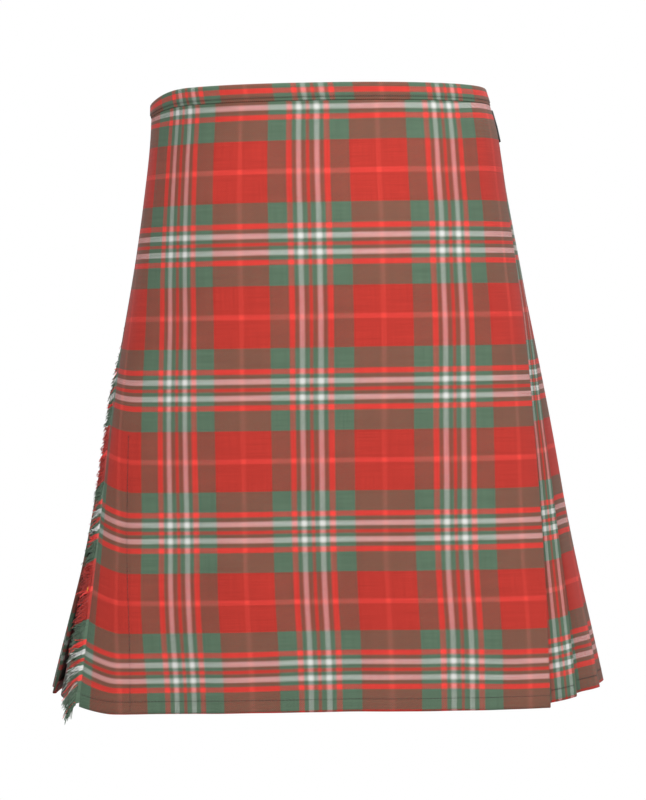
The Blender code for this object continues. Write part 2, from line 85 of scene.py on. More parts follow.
def soft_light(name, place, side, power):
    """A square softbox of that side, aimed at the middle of the kilt."""
    lamp = bpy.data.lights.new(name, "AREA")
    lamp.size = side
    lamp.energy = power
    made = bpy.data.objects.new(name, lamp)
    made.location = place
    aim = Vector(MIDDLE) - made.location
    made.rotation_euler = aim.to_track_quat("-Z", "Y").to_euler()
    bpy.context.scene.collection.objects.link(made)


soft_light("key_light", (2.1, -1.66, 2.03), 1.5, 78)
soft_light("fill_light", (-0.57, -1.82, 1.88), 1.6, 80)
soft_light("back_light", (1.2, 2.8, 0.9), 2.4, 18)

studio = bpy.data.worlds.new("studio")
bpy.context.scene.world = studio
studio.use_nodes = True
air, join = studio.node_tree.nodes, studio.node_tree.links.new
ambient, backdrop = air["Background"], air.new("ShaderNodeBackground")
ambient.inputs["Color"].default_value = backdrop.inputs["Color"].default_value = (1, 1, 1, 1)
ambient.inputs["Strength"].default_value = AMBIENT
either = air.new("ShaderNodeMixShader")
join(air.new("ShaderNodeLightPath").outputs["Is Camera Ray"], either.inputs[0])
join(ambient.outputs[0], either.inputs[1])
join(backdrop.outputs[0], either.inputs[2])
join(either.outputs[0], air["World Output"].inputs["Surface"])


# ---- The over apron ----
# The flat front panel of worsted tartan, a 2/2 twill. It lies over everything else: its left
# edge is folded and stitched down over the fringe, its right edge folds back into the first
# pleat, and its hem is turned up and sewn.

# Sizes are in millimetres. A place on the cloth is a level z, an arc length s round the body
# from the centre front towards the wearer's left, and an offset r outwards.
MM = 0.001
BAND_TOP, HEM = 8.0, -596.0
CLOTH, UNDER_BAND = 1.0, 1.6
LEVEL_GAP, RING_STEPS, SLOPE_OVER = 4.0, 1440, 6

# The turned-up hem: its height, its rows and how far behind the cloth they lie, and the rows
# that take it round the bottom edge, as heights and distances behind.
TURN_UP, HEM_ROWS, HEM_BEHIND = 11.0, 5, 1.15
HEM_ROUND = ((-0.35, 0.25), (0.0, 1.0))

RING_COLUMNS = ("z", "shift", "half_width", "front", "back", "front_square")
RINGS = (
    (8, -3.5, 165.5, 112, 112, 2.2),
    (-30, 1.5, 171.8, 113, 113, 2.2),
    (-100, 2.5, 181.2, 120, 122, 2.25),
    (-200, 2.9, 198.4, 128, 138, 2.35),
    (-320, 0.1, 222.9, 134, 150, 2.5),
    (-450, -1.3, 246.7, 141, 162, 2.6),
    (-596, -5.2, 280.2, 150, 178, 2.6),
)
BACK_SQUARE = 2.1
EDGE_COLUMNS = ("z", "over_left", "over_right", "last_pleat")
EDGES = (
    (8, -250, 213, -238),
    (-30, -253, 214, -241),
    (-100, -254, 216, -242),
    (-200, -251, 217, -239),
    (-320, -239, 217, -227),
    (-450, -242.5, 218.5, -230.5),
    (-596, -252, 222.5, -240),
)
PLEATS = 24
PLEAT_DEPTH = 1.4
STEP_WAIST, STEP_HEM, STITCHED_TO = 3.6, 7.0, -200.0
APRON_LIFT, LIFT_FROM, LIFT_TO = 4.2, -150.0, -225.0
DIP, DIP_STARTS, DIP_LOWEST, DIP_POWER, DIP_PLEATS, DIP_BELOW = 10.0, -128.0, -216.0, 1.6, 2, -34.0

# Soft waves below a level: how high, how many go round, where they start, and the drop that
# shifts them by one radian.
WAVES_BELOW = -90.0
WAVES = ((0.9, 9, 0.6, 210), (0.55, 16, -1.1, -150), (0.3, 29, 2.0, 90))


def smooth_rows(table, columns, z):
    """The table's values at the levels z, on smooth curves through its rows."""
    rows = np.array(table, float)
    at, values = rows[::-1, 0], rows[::-1, 1:]
    slopes = np.gradient(values, at, axis=0)
    z = np.asarray(z, float)
    k = np.clip(np.searchsorted(at, z) - 1, 0, len(at) - 2)
    width = (at[k + 1] - at[k])[..., None]
    t = np.clip((z - at[k])[..., None] / width, 0, 1)
    value = (
        (1 + 2 * t) * (1 - t) ** 2 * values[k]
        + t * (1 - t) ** 2 * width * slopes[k]
        + t * t * (3 - 2 * t) * values[k + 1]
        + t * t * (t - 1) * width * slopes[k + 1]
    )
    return {name: value[..., n] for n, name in enumerate(columns[1:])}


def ramp(value, start, end):
    """0 at start, 1 at end, eased at both ends."""
    t = np.clip((np.asarray(value, float) - start) / (end - start), 0, 1)
    return t * t * (3 - 2 * t)


def body_rings():
    """Points and outward directions round the body at even levels and even arc lengths."""
    levels = np.arange(BAND_TOP + LEVEL_GAP, HEM - 40, -LEVEL_GAP)
    size = smooth_rows(RINGS, RING_COLUMNS, levels)
    turn = np.linspace(0, 2 * math.pi, 2 * RING_STEPS + 1)
    across, ahead = np.sin(turn), np.cos(turn)
    spots = np.arange(RING_STEPS + 1)
    after, before = (spots + SLOPE_OVER) % RING_STEPS, (spots - SLOPE_OVER) % RING_STEPS
    rings, lengths = [], []
    for n in range(len(levels)):
        square = np.where(ahead > 0, size["front_square"][n], BACK_SQUARE)
        depth = np.where(ahead > 0, size["front"][n], size["back"][n])
        x = size["shift"][n] + size["half_width"][n] * np.sign(across) * abs(across) ** (2 / square)
        y = -depth * np.sign(ahead) * abs(ahead) ** (2 / square)
        walked = np.r_[0, np.cumsum(np.hypot(np.diff(x), np.diff(y)))]
        even = np.linspace(0, walked[-1], RING_STEPS + 1)
        x, y = np.interp(even, walked, x), np.interp(even, walked, y)
        dx, dy = x[after] - x[before], y[after] - y[before]
        span = np.hypot(dx, dy)
        rings.append(np.stack([x, y, dy / span, -dx / span]))
        lengths.append(walked[-1])
    return levels, np.array(rings), np.array(lengths)


LEVELS, BODY, LENGTHS = body_rings()


def round_length(z):
    """The length once round the body at the levels z."""
    return np.interp(z, LEVELS[::-1], LENGTHS[::-1])


def hang(z, s):
    """How far worn cloth stands off the plain form: low soft waves that deepen to the hem."""
    turn = 2 * math.pi * s / round_length(z)
    waves = sum(height * np.sin(count * turn + start + z / drop) for height, count, start, drop in WAVES)
    return waves * ramp(z, WAVES_BELOW, HEM)


def edge(name, z):
    return smooth_rows(EDGES, EDGE_COLUMNS, z)[name]


def side_dip(z, s):
    """How far the soft top edge sinks on the wearer's right hip."""
    length, last = round_length(z), edge("last_pleat", z)
    s = (s + length / 2) % length - length / 2
    pitch = (length + last - edge("over_right", z)) / PLEATS
    risen = np.clip((last - s) / (DIP_PLEATS * pitch), 0, 1)
    sunk = ramp(s, DIP_STARTS, DIP_LOWEST) ** DIP_POWER
    return DIP * sunk * (1 - risen) * ramp(z, DIP_BELOW, BAND_TOP)


def on_body(z, s, r):
    """Places in metres for levels z, arc lengths s and offsets r, arrays of one shape."""
    z, s, r = np.broadcast_arrays(np.asarray(z, float), s, r)
    r = r + hang(z, s)
    down = np.clip((LEVELS[0] - z) / LEVEL_GAP, 0, len(LEVELS) - 1.001)
    upper = down.astype(int)
    share = down - upper
    found = 0
    for level, weight in ((upper, 1 - share), (upper + 1, share)):
        at = (s / LENGTHS[level]) % 1 * RING_STEPS
        k = np.minimum(at.astype(int), RING_STEPS - 1)
        part = at - k
        here = BODY[level, :, k] * (1 - part[..., None]) + BODY[level, :, k + 1] * part[..., None]
        found = found + here * weight[..., None]
    x = found[..., 0] + r * found[..., 2]
    y = found[..., 1] + r * found[..., 3]
    return np.stack([x, y, z - side_dip(z, s)], -1) * MM


def pleat_step(z):
    return STEP_WAIST + (STEP_HEM - STEP_WAIST) * ramp(z, STITCHED_TO, HEM)


def pleat_start(z, turns):
    """Arc length of the fold edge numbered turns; 0 is the over apron's own fold."""
    first = edge("over_right", z)
    last = round_length(z) + edge("last_pleat", z)
    return first + turns * (last - first) / PLEATS


def apron_lift(s):
    """The over apron rises at its left edge to lie on the last pleat's fold."""
    return APRON_LIFT * ramp(s, LIFT_FROM, LIFT_TO)


# The tartan is counted in cloth millimetres, 140 to a repeat in both directions, with a white
# pair at each whole repeat. These columns give where the pairs fall on the over apron.
REPEAT = 140.0
PAIR_COLUMNS = ("z", "centre", "left_repeat", "right_repeat")
PAIRS = (
    (8, -15.0, 129.0, 133.5),
    (-12, -15.2, 130.2, 134.1),
    (-32, -17.8, 131.4, 135.6),
    (-54, -19.0, 133.1, 136.9),
    (-83, -18.9, 134.4, 138.0),
    (-107, -18.6, 135.6, 139.0),
    (-170, -18.4, 136.7, 138.7),
    (-228, -17.9, 135.2, 139.7),
    (-353, -16.2, 133.2, 138.9),
    (-434, -15.6, 131.9, 138.3),
    (-478, -13.9, 132.8, 138.6),
    (-497, -12.8, 132.9, 139.0),
    (-526, -10.6, 132.8, 139.0),
    (-574, -8.3, 130.7, 138.2),
    (-596, -7.7, 130.2, 138.0),
)
FIRST_WEFT_PAIR, WEFT_EVEN_BELOW = -7.8, 575.0
WEFT_CLOSING, WEFT_SLACK = 7e-8, 1.1
EDGE_PULL, PULL_WIDTH = 11.5, 40.0
APRON_SAG, CORNER_LIFT = 3.6, 6.0
EDGE_LINE, EDGE_GREEN = -212.0, -250.5
CREASE_COLUMNS = ("z", "s")
CREASE = ((8, -207), (-336, -205), (-452, -201), (-528, -196), (-596, -192.8))


def cloth_down(z):
    """Cloth millimetres down from the top white pair of the weft."""
    deep = FIRST_WEFT_PAIR - z
    slack = WEFT_SLACK * (ramp(z, -160, -290) - ramp(z, -470, -580))
    return deep + WEFT_CLOSING * np.minimum(deep, WEFT_EVEN_BELOW) ** 3 - slack


def apron_across(z, s):
    """Cloth millimetres across from the over apron's centre white pair."""
    pair = smooth_rows(PAIRS, PAIR_COLUMNS, z)
    off = s - pair["centre"]
    even = REPEAT * off / np.where(off < 0, pair["left_repeat"], pair["right_repeat"])
    at_edge = REPEAT * (edge("over_left", z) - pair["centre"]) / pair["left_repeat"]
    closer = EDGE_LINE + (even - EDGE_LINE) * (EDGE_GREEN - EDGE_LINE) / (at_edge - EDGE_LINE)
    return np.where(even < EDGE_LINE, closer, even)


def corner_lift(z, s):
    """The sewn left edge draws up its corner of the hem."""
    near = np.clip((edge("over_left", z) + PULL_WIDTH - s) / PULL_WIDTH, 0, 1.3)
    return CORNER_LIFT * near**1.5 * ramp(z, -430, HEM)


def edge_pull(z, s):
    """The weft is drawn up a little towards the sewn left edge."""
    near = np.clip((edge("over_left", z) + PULL_WIDTH - s) / PULL_WIDTH, 0, 1.3)
    return EDGE_PULL * near**1.4 * (ramp(z, -190, -420) - 0.7 * ramp(z, -565, HEM)) - corner_lift(z, s)


def weft_drift(z, s):
    """The apron's weft rises towards the top right and slackens towards the two hem corners."""
    high = (0.5 + 0.7 * ramp(s, 20, 80) + 2.2 * ramp(s, 120, 175)) * (1 - ramp(z, -60, -130))
    low = (1.2 * ramp(s, -10, -90) + 2.2 * ramp(s, 110, 190)) * ramp(z, -470, -560)
    return high - low


def sag(z, s):
    """The hem of the hanging apron drops a little away from the centre front."""
    return APRON_SAG * ((s + 20) / 190) ** 2 * ramp(z, -60, HEM) - corner_lift(z, s)


def arc(count):
    """Sines and cosines from a fold's outer side, round its tip, to its inner side."""
    turn = np.linspace(0, math.pi, count)
    return np.sin(turn), np.cos(turn)


def woven(name, places, across, down, shade=0.0, thick=CLOTH):
    """Cloth over a grid of places [row, column], with its cloth coordinates in millimetres.

    shade, from 0 to 1, is painted shade: how much each place's colour is darkened, more the deeper in a fold it
    lies.
    """
    rows, columns = places.shape[:2]
    k = np.arange(rows * columns).reshape(rows, columns)
    corners = np.stack([k[:-1, :-1], k[1:, :-1], k[1:, 1:], k[:-1, 1:]], -1).reshape(-1, 4)
    made = new_piece(name, places.reshape(-1, 3).tolist(), corners.tolist())
    cloth = np.stack(np.broadcast_arrays(across, down), -1) * MM
    deep = np.broadcast_to(shade, (rows, columns))
    for layer, values in (("cloth", cloth), ("shade", np.stack([deep, deep], -1))):
        values = values.reshape(-1, 2)[corners.reshape(-1)]
        made.data.uv_layers.new(name=layer).data.foreach_set("uv", values.reshape(-1))
    made.data.uv_layers.active_index = 0
    wall = made.modifiers.new("cloth", "SOLIDIFY")
    wall.thickness = thick * MM
    wall.offset = 0
    return made


def turned_hem(z, s, r, across, down):
    """Adds the hem's turn-up to a cloth's rows: round the bottom edge and up its wrong side."""
    ds, dr = np.gradient(s[-1]), np.gradient(r[-1])
    span = np.hypot(ds, dr)
    inward = np.stack([dr / span, -ds / span])
    rows = [*HEM_ROUND, *((TURN_UP * k / HEM_ROWS, HEM_BEHIND) for k in range(1, HEM_ROWS + 1))]
    grids = [[z], [s], [r], [across], [down]]
    for up, off in rows:
        turned = (z[-1] + up, s[-1] + inward[0] * off, r[-1] + inward[1] * off, across[-1], down[-1] + up + off)
        for grid, row in zip(grids, turned):
            grid.append(row)
    return [np.vstack(grid) for grid in grids]


def cloth_levels(count):
    """Levels from under the waistband to the hem, closer together at the two ends."""
    share = np.linspace(0, 1, count)
    share = share - 0.06 * np.sin(2 * math.pi * share)
    return (BAND_TOP - UNDER_BAND) + (HEM - BAND_TOP + UNDER_BAND) * share


def sew(made, finish, slot, *nodes):
    """Gives a finished piece its material and body, in place of the part's plain nodes; slot is not used."""
    made.data.materials.append(finish)
    if nodes:
        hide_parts(*nodes)
    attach(made, "root")
    return made


def sign(operation, turned_round=False):
    """One of the signs that a reading understands, + or * and so on."""

    def work(self, other):
        return self.work(operation, *((other, self) if turned_round else (self, other)))

    return work


class Reading:
    """A value in a finish's nodes that takes part in sums."""

    def __init__(self, finish, socket):
        self.finish, self.socket = finish, socket

    def work(self, operation, *values):
        return self.finish.node("ShaderNodeMath", {"operation": operation}, dict(enumerate(values)))

    __add__ = __radd__ = sign("ADD")
    __mul__ = __rmul__ = sign("MULTIPLY")
    __sub__, __rsub__ = sign("SUBTRACT"), sign("SUBTRACT", True)
    __truediv__, __rtruediv__ = sign("DIVIDE"), sign("DIVIDE", True)
    __mod__, __rmod__ = sign("FLOORED_MODULO"), sign("FLOORED_MODULO", True)

    def __abs__(self):
        return self.work("ABSOLUTE", self)

    def wave(self):
        return self.work("SINE", self)

    def between(self, low, high):
        """0 below low, 1 above high, even between."""
        return self.finish.node("ShaderNodeMapRange", {}, {0: self, 1: low, 2: high, 3: 0.0, 4: 1.0})


class Finish:
    """A material whose nodes are written as sums."""

    def __init__(self, name, **constants):
        self.material = bpy.data.materials.new(name)
        self.material.use_nodes = True
        self.nodes = self.material.node_tree.nodes
        self.links = self.material.node_tree.links
        self.shader = self.nodes["Principled BSDF"]
        for socket, value in constants.items():
            self.shader.inputs[socket.replace("_", " ")].default_value = value

    def node(self, kind, settings, sockets, output=0):
        made = self.nodes.new(kind)
        for name, value in settings.items():
            if name == "stops":
                made.color_ramp.interpolation = "CONSTANT"
                made.color_ramp.elements.remove(made.color_ramp.elements[1])
                made.color_ramp.elements[0].position, made.color_ramp.elements[0].color = value[0]
                for place, colour in value[1:]:
                    made.color_ramp.elements.new(place).color = colour
            else:
                setattr(made, name, value)
        for name, value in sockets.items():
            self.feed(made.inputs[name], value)
        return Reading(self, made.outputs[output])

    def feed(self, socket, value):
        if isinstance(value, Reading):
            self.links.new(value.socket, socket)
        else:
            socket.default_value = value

    def vector(self, operation, *values):
        return self.node("ShaderNodeVectorMath", {"operation": operation}, dict(enumerate(values)))

    def show(self, name, value):
        self.feed(self.shader.inputs[name], value)

    def cloth(self):
        """The cloth coordinates of a woven piece, across and down, in metres."""
        place = self.node("ShaderNodeUVMap", {"uv_map": "cloth"}, {})
        across = self.node("ShaderNodeSeparateXYZ", {}, {0: place}, "X")
        down = self.node("ShaderNodeSeparateXYZ", {}, {0: place}, "Y")
        return place, across, down

    def solid(self):
        """The place in a piece of leather, metal or thread, in metres."""
        return self.node("ShaderNodeTexCoord", {}, {}, "Object")

    def darkened_by_painted_shade(self, colour):
        """A colour darkened by painted shade, as much as the shade map gives: deep in folds and behind the fringe.
        """
        place = self.node("ShaderNodeUVMap", {"uv_map": "shade"}, {})
        return self.shade(colour, 1 - self.node("ShaderNodeSeparateXYZ", {}, {0: place}, "X"))

    def mottle(self, place, scale, detail=2.0, rough=0.5):
        sockets = {"Vector": place, "Scale": scale, "Detail": detail, "Roughness": rough}
        return self.node("ShaderNodeTexNoise", {"noise_dimensions": "3D"}, sockets)

    def streaks(self, place, across, down, off=0.0, detail=2.0, rough=0.5):
        """A mottle so many times a metre across and down the cloth."""
        drawn_out = self.vector("MULTIPLY", place, (across, down, 1))
        return self.mottle(self.vector("ADD", drawn_out, (off, off, 0)), 1.0, detail, rough)

    def shade(self, colour, strength):
        """A colour made darker or lighter by a value."""
        return self.node("ShaderNodeVectorMath", {"operation": "SCALE"}, {0: colour, "Scale": strength})

    def mix(self, first, second, share):
        settings = {"data_type": "RGBA"}
        return self.node("ShaderNodeMix", settings, {0: share, 6: first, 7: second}, 2)

    def crossed(self, first, second, share):
        """Two yarns' colours mixed, and dimmed where they differ, as each shades the other."""
        gap = self.vector("ABSOLUTE", self.vector("SUBTRACT", first, second))
        return self.vector("SUBTRACT", self.mix(first, second, share), self.shade(gap, CROSS_SHADE))

    def bright(self, seen):
        """The colour that a surface needs to be seen as the colour given."""
        return self.node("ShaderNodeGamma", {}, {"Color": seen, "Gamma": GAMMA})

    def raised(self, height, distance, strength=1.0):
        sockets = {"Height": height, "Distance": distance, "Strength": strength}
        self.show("Normal", self.node("ShaderNodeBump", {}, sockets))


# Half a repeat of the sett, from the thin red line between the whites to the bright red line
# in the middle of the dark red: each stripe's colour and where it starts, in cloth millimetres.
# The weft is beaten up a little closer than the warp. Colours are as seen, before the gamma.
DARK_RED = (0.690, 0.200, 0.165, 1)
MID_RED = (0.775, 0.250, 0.215, 1)
LINE_RED = (0.83, 0.258, 0.222, 1)
BRIGHT_RED = (0.90, 0.262, 0.235, 1)
GREEN = (0.325, 0.412, 0.338, 1)
WHITE = (0.80, 0.80, 0.79, 1)
GAMMA = 2.2
WARP_SETT = (
    (0.0, MID_RED),
    (1.6, GREEN),
    (6.4, WHITE),
    (11.5, GREEN),
    (15.9, BRIGHT_RED),
    (21.8, GREEN),
    (41.0, DARK_RED),
    (67.4, LINE_RED),
)
WEFT_SETT = (
    (0.0, MID_RED),
    (1.4, GREEN),
    (5.4, WHITE),
    (10.6, GREEN),
    (14.9, BRIGHT_RED),
    (20.0, GREEN),
    (40.0, DARK_RED),
    (67.5, BRIGHT_RED),
)
TWILL_RIB = 0.0022
RIB_FROM, RIB_TO, WEFT_LEAST, WEFT_MORE = 0.16, 0.28, 0.06, 0.9
CROSS_SHADE = 0.13
WAVER = 0.0009
STREAK_DARKEST, STREAK_RANGE = 0.80, 0.40


def stripe_colour(finish, along, sett):
    """The yarn colour at a distance along the sett, in metres."""
    half = REPEAT * MM / 2
    place = abs((along + half) % (2 * half) - half) / half
    stops = [(start / REPEAT * 2, colour) for start, colour in sett]
    return finish.node("ShaderNodeValToRGB", {"stops": stops}, {0: place})


def worsted_tartan():
    soft = {"Sheen_Weight": 0.12, "Sheen_Roughness": 0.45, "Specular_IOR_Level": 0.25}
    finish = Finish("tartan_worsted", Roughness=0.86, **soft)
    place, across, down = finish.cloth()
    warp = stripe_colour(finish, across + (finish.streaks(place, 260, 9) - 0.5) * WAVER, WARP_SETT)
    weft = stripe_colour(finish, down + (finish.streaks(place, 9, 260, 7.0) - 0.5) * WAVER, WEFT_SETT)
    rib = (across + down) / TWILL_RIB
    uneven = (finish.mottle(place, 620, 1.0) - 0.5) * 0.8
    on_top = WEFT_LEAST + abs(rib % 1 - 0.5).between(RIB_FROM, RIB_TO) * WEFT_MORE + uneven
    uneven_warp = finish.streaks(place, 700, 14, rough=0.7)
    uneven_weft = finish.streaks(place, 14, 700, 3.0, rough=0.7)
    warp = finish.shade(warp, STREAK_DARKEST + uneven_warp * STREAK_RANGE)
    weft = finish.shade(weft, STREAK_DARKEST + uneven_weft * STREAK_RANGE)
    colour = finish.bright(finish.crossed(warp, weft, on_top))
    handled = finish.mottle(place, 9, 3.0)
    # The base colour carries the painted shade of the pleats' folds.
    finish.show("Base Color", finish.darkened_by_painted_shade(finish.shade(colour, 0.93 + handled * 0.14)))
    fuzz = finish.mottle(place, 2600, 2.0, 0.6)
    ridge = (rib * (2 * math.pi)).wave() * 0.5
    finish.raised(ridge + fuzz * 0.9 + handled * 0.5, 0.00016, 0.6)
    return finish.material


tartan = worsted_tartan()

APRON_ROWS, APRON_FACE, EDGE_POINTS, FOLD_POINTS, RETURN_POINTS = 150, 128, 7, 9, 12
EDGE_FOLD, EDGE_TURNED_UNDER = 0.75, (7.0, 4.0)
CREASE_DEEP, CREASE_WIDE = 0.45, 1.3

z = cloth_levels(APRON_ROWS)[:, None]
left, right = edge("over_left", z), edge("over_right", z)
radius = pleat_step(z) / 4
share = np.linspace(0, 1, APRON_FACE)
spread = share - 0.03 * np.sin(2 * math.pi * share)
face_s = left + EDGE_FOLD + (right - radius - left - EDGE_FOLD) * spread
sine, cosine = arc(EDGE_POINTS)
tuck_s = left + EDGE_FOLD - EDGE_FOLD * sine[::-1]
tuck_r = apron_lift(left) - EDGE_FOLD + EDGE_FOLD * cosine[::-1]
under_s = left + np.array(EDGE_TURNED_UNDER)
under_r = apron_lift(left) - 2 * EDGE_FOLD + 0 * under_s
sine, cosine = arc(FOLD_POINTS)
tip_s = right - radius + radius * sine
tip_r = -radius + radius * cosine
turns = np.linspace(0, -PLEAT_DEPTH, RETURN_POINTS)[1:]
return_s = pleat_start(z, turns)
return_r = pleat_step(z) * (turns - 0.5)
s = np.hstack([under_s, tuck_s[:, :-1], face_s[:, :-1], tip_s, return_s])
r = np.hstack([under_r, tuck_r[:, :-1], apron_lift(face_s[:, :-1]), tip_r, return_r])
walked = np.cumsum(np.hypot(np.diff(s, axis=1, prepend=s[:, :1]), np.diff(r, axis=1, prepend=r[:, :1])), axis=1)
start = under_s.shape[1] + tuck_s.shape[1] - 1
stop = start + face_s.shape[1] - 2
across = apron_across(z, s)
across[:, :start] = across[:, start:start + 1] + walked[:, :start] - walked[:, start:start + 1]
across[:, stop:] = across[:, stop:stop + 1] + walked[:, stop:] - walked[:, stop:stop + 1]
level = np.broadcast_to(z, s.shape)
down = cloth_down(level) + edge_pull(level, s) + weft_drift(level, s)
crease = smooth_rows(CREASE, CREASE_COLUMNS, z)["s"]
pinch = np.exp(-(((s - crease) / CREASE_WIDE) ** 2)) * ramp(z, -250, -330)
r = r - CREASE_DEEP * pinch * (np.arange(s.shape[1]) < stop)
level, s, r, across, down = turned_hem(level, s, r, across, down)
places = on_body(level - sag(level, s), s, r)
front_apron = woven("front_apron", places, across, down)
sew(front_apron, tartan, "tartan", "over_apron")


# ---- The pleats ----
# The same length of cloth goes on round the back in knife pleats, sewn down to the hip and
# pressed to the hem. Each pleat shows a narrow face and hides the rest under its neighbours.
PLEAT_ROWS, PLEAT_WALL = 62, 0.9
HIDDEN_POINTS, SHOWN_POINTS, TIP_POINTS, BACK_POINTS, INNER_POINTS = 4, 8, 6, 5, 4
SIDE_SINK, SIDE_RISE, PLEAT_PULL = 3.0, 7.0, 2.6
LOOSE_LEAST, LOOSE_MORE, SWAY = 0.4, 2.6, 1.6
FIRST_NARROWED, FIRST_EDGE, FIRST_DRAWN_IN = 9.4, 15.5, (1.75, 1.48)

# Where in the sett each pleat's face has its middle: the first shows a white pair and the next
# two the dark red. From there they step on evenly as far as the last three, which show green.
FIRST_CENTRES, PLEAT_STEP_ON, LAST_CENTRES = (0.0, 57.0, 78.0), 25.0, (20.0, 20.0, 20.0)
evenly = [FIRST_CENTRES[-1] + PLEAT_STEP_ON * k for k in range(1, PLEATS - 5)]
centres = [*FIRST_CENTRES, *evenly, *LAST_CENTRES]

# Painted shade: how much the cloth's colour is darkened in the folds, and towards the hem on the last pleats, behind
# the fringe.
INSIDE_SHADE, HIDDEN_SHADE = 0.5, 0.4
PAINTED_SHADE_BY_FRINGE = {PLEATS - 2: 0.5, PLEATS - 1: 0.72, PLEATS: 0.72}

dice = random.Random(4)
loose = [LOOSE_LEAST + LOOSE_MORE * dice.random() for _ in range(PLEATS + 1)]
sway = [SWAY * (dice.random() - 0.5) for _ in range(PLEATS + 1)]
loose[1], loose[2], sway[1], sway[2] = 0.3, 0.5, 0.0, 0.3
loose[PLEATS - 1], loose[PLEATS] = 0.0, 0.0


def past_hip(z, s, start, end):
    """0 on the front, 1 past the hips, from arc lengths counted on either side."""
    length = round_length(z)
    side = length / 2 - abs(s % length - length / 2)
    return ramp(side, start, end)


def pleat_rise(z, s):
    """The pleats hang lower next to the aprons, ride up past the hips and level out behind."""
    lifted = SIDE_RISE * past_hip(z, s, 215, 275) - SIDE_SINK
    return lifted * (1 - past_hip(z, s, 430, 560)) * ramp(z, -200, HEM)


def pleat_face(z, number, turns):
    """Arc length and offset on the outward side of a pleat, from its inner fold to its edge."""
    open_out = loose[number] * ramp(turns, number - 1.0, number) * ramp(z, -220, HEM)
    shift = sway[number] * ramp(turns, number - 1.0, number) * np.sin(z / 70 + number) * ramp(z, -220, HEM)
    if number == 1:
        shift = -FIRST_NARROWED * ramp(turns, 0.0, 1.0) * ramp(z, -180, -330)
    return pleat_start(z, turns) + shift, -pleat_step(z) * (number - turns) + open_out


z = cloth_levels(PLEAT_ROWS)[:, None]
step = pleat_step(z)
radius = step / 4
columns, shades = [], []
for number in range(1, PLEATS + 1):
    middle = pleat_start(z, number - 0.5)
    pitch = pleat_start(z, 1.0) - pleat_start(z, 0.0)
    hidden = np.linspace(number - 1 - PLEAT_DEPTH, number - 1.0, HIDDEN_POINTS)
    turns = np.r_[hidden[:-1], np.linspace(number - 1.0, number, SHOWN_POINTS)] + 0 * z
    turns[:, :1] += radius / pitch
    turns[:, -1:] -= radius / pitch
    face_s, face_r = pleat_face(z, number, turns)
    face_u = centres[number - 1] + face_s - middle
    if number == 1:
        high, low = FIRST_DRAWN_IN
        drawn_in = high + (low - high) * ramp(z, -330, -480)
        face_u = FIRST_EDGE + (face_s - face_s[:, -1:]) * drawn_in
    edge_s, edge_r = face_s[:, -1:], face_r[:, -1:]
    sine, cosine = arc(TIP_POINTS)
    tip_s = edge_s + radius * sine[1:-1]
    tip_r = edge_r - radius + radius * cosine[1:-1]
    tip_u = face_u[:, -1:] + radius * np.linspace(0, math.pi, TIP_POINTS)[1:-1]
    back_turns = np.r_[np.linspace(number, number - 1.0, BACK_POINTS), number - PLEAT_DEPTH] + 0 * z
    back_turns[:, :1] -= radius / pitch
    back_turns[:, -1:] += radius / pitch
    back_s, back_r = pleat_face(z, number, back_turns)
    back_r = back_r - step / 2
    back_u = face_u[:, -1:] + radius * math.pi + back_s[:, :1] - back_s
    columns += [(face_s, face_r, face_u), (tip_s, tip_r, tip_u), (back_s, back_r, back_u)]
    behind = len(tip_s[0]) + len(back_s[0])
    if number < PLEATS:
        next_turns = number - PLEAT_DEPTH + radius / pitch
        next_s, next_r = pleat_face(z, number + 1, next_turns)
        next_u = centres[number] + next_s - pleat_start(z, number + 0.5)
        sine, cosine = arc(INNER_POINTS)
        last_s, last_r, last_u = back_s[:, -1:], back_r[:, -1:], back_u[:, -1:]
        fold_r = (last_r + next_r) / 2 + (last_r - next_r) / 2 * cosine[1:-1]
        gone = np.linspace(0, 1, INNER_POINTS)[1:-1]
        columns.append((last_s - radius * sine[1:-1], fold_r, last_u + (next_u - last_u) * gone))
        behind += INNER_POINTS - 2
    # Painted shade: darker deeper inside each pleat and on its fold's tip, back and inner fold, and darker still
    # towards the hem on the last pleats behind the fringe.
    own = PAINTED_SHADE_BY_FRINGE.get(number, 0.0) * ramp(z, -330, -450)
    inside = np.clip((number - turns) / (1 + PLEAT_DEPTH), 0, 1) ** 1.5 * INSIDE_SHADE
    shades.append(np.maximum(np.hstack([inside, np.full((len(z), behind), HIDDEN_SHADE)]), own))
s, r, across = (np.hstack(grids) for grids in zip(*columns))
level = np.broadcast_to(z, s.shape)
down = cloth_down(level) + PLEAT_PULL * (1 - 0.8 * ramp(level, -560, HEM))
level, s, r, across, down = turned_hem(level, s, r, across, down)
places = on_body(level + pleat_rise(level, s), s, r)
shade = np.hstack(shades)
shade = np.vstack([shade, np.repeat(shade[-1:], len(places) - len(shade), axis=0)])
knife_pleats = woven("knife_pleats", places, across, down, shade, PLEAT_WALL)
sew(knife_pleats, tartan, "tartan", "pleats")


# ---- The under apron ----
# Past the last pleat the cloth turns in and lies flat across the front again, under the over
# apron and the pile of the first pleats. Only its inside shows, through the waist and the hem.
UNDER_RIGHT, UNDER_CLEARANCE, LAYERS_APART = 204.0, 4.6, 1.4
UNDER_ROWS, UNDER_FACE = 90, 90
UNDER_COLOUR_AT_SEAM = 30.0


def pile_depth(z):
    return (PLEAT_DEPTH + 1) * pleat_step(z)


def under_offset(z, s):
    """s is counted from the centre front, so it is below zero on the wearer's right."""
    seam = -(PLEAT_DEPTH + 0.5) * pleat_step(z) - LAYERS_APART
    settled = -pile_depth(z) - UNDER_CLEARANCE
    last = edge("last_pleat", z)
    return seam + (settled - seam) * ramp(s, last - 10, last + 35)


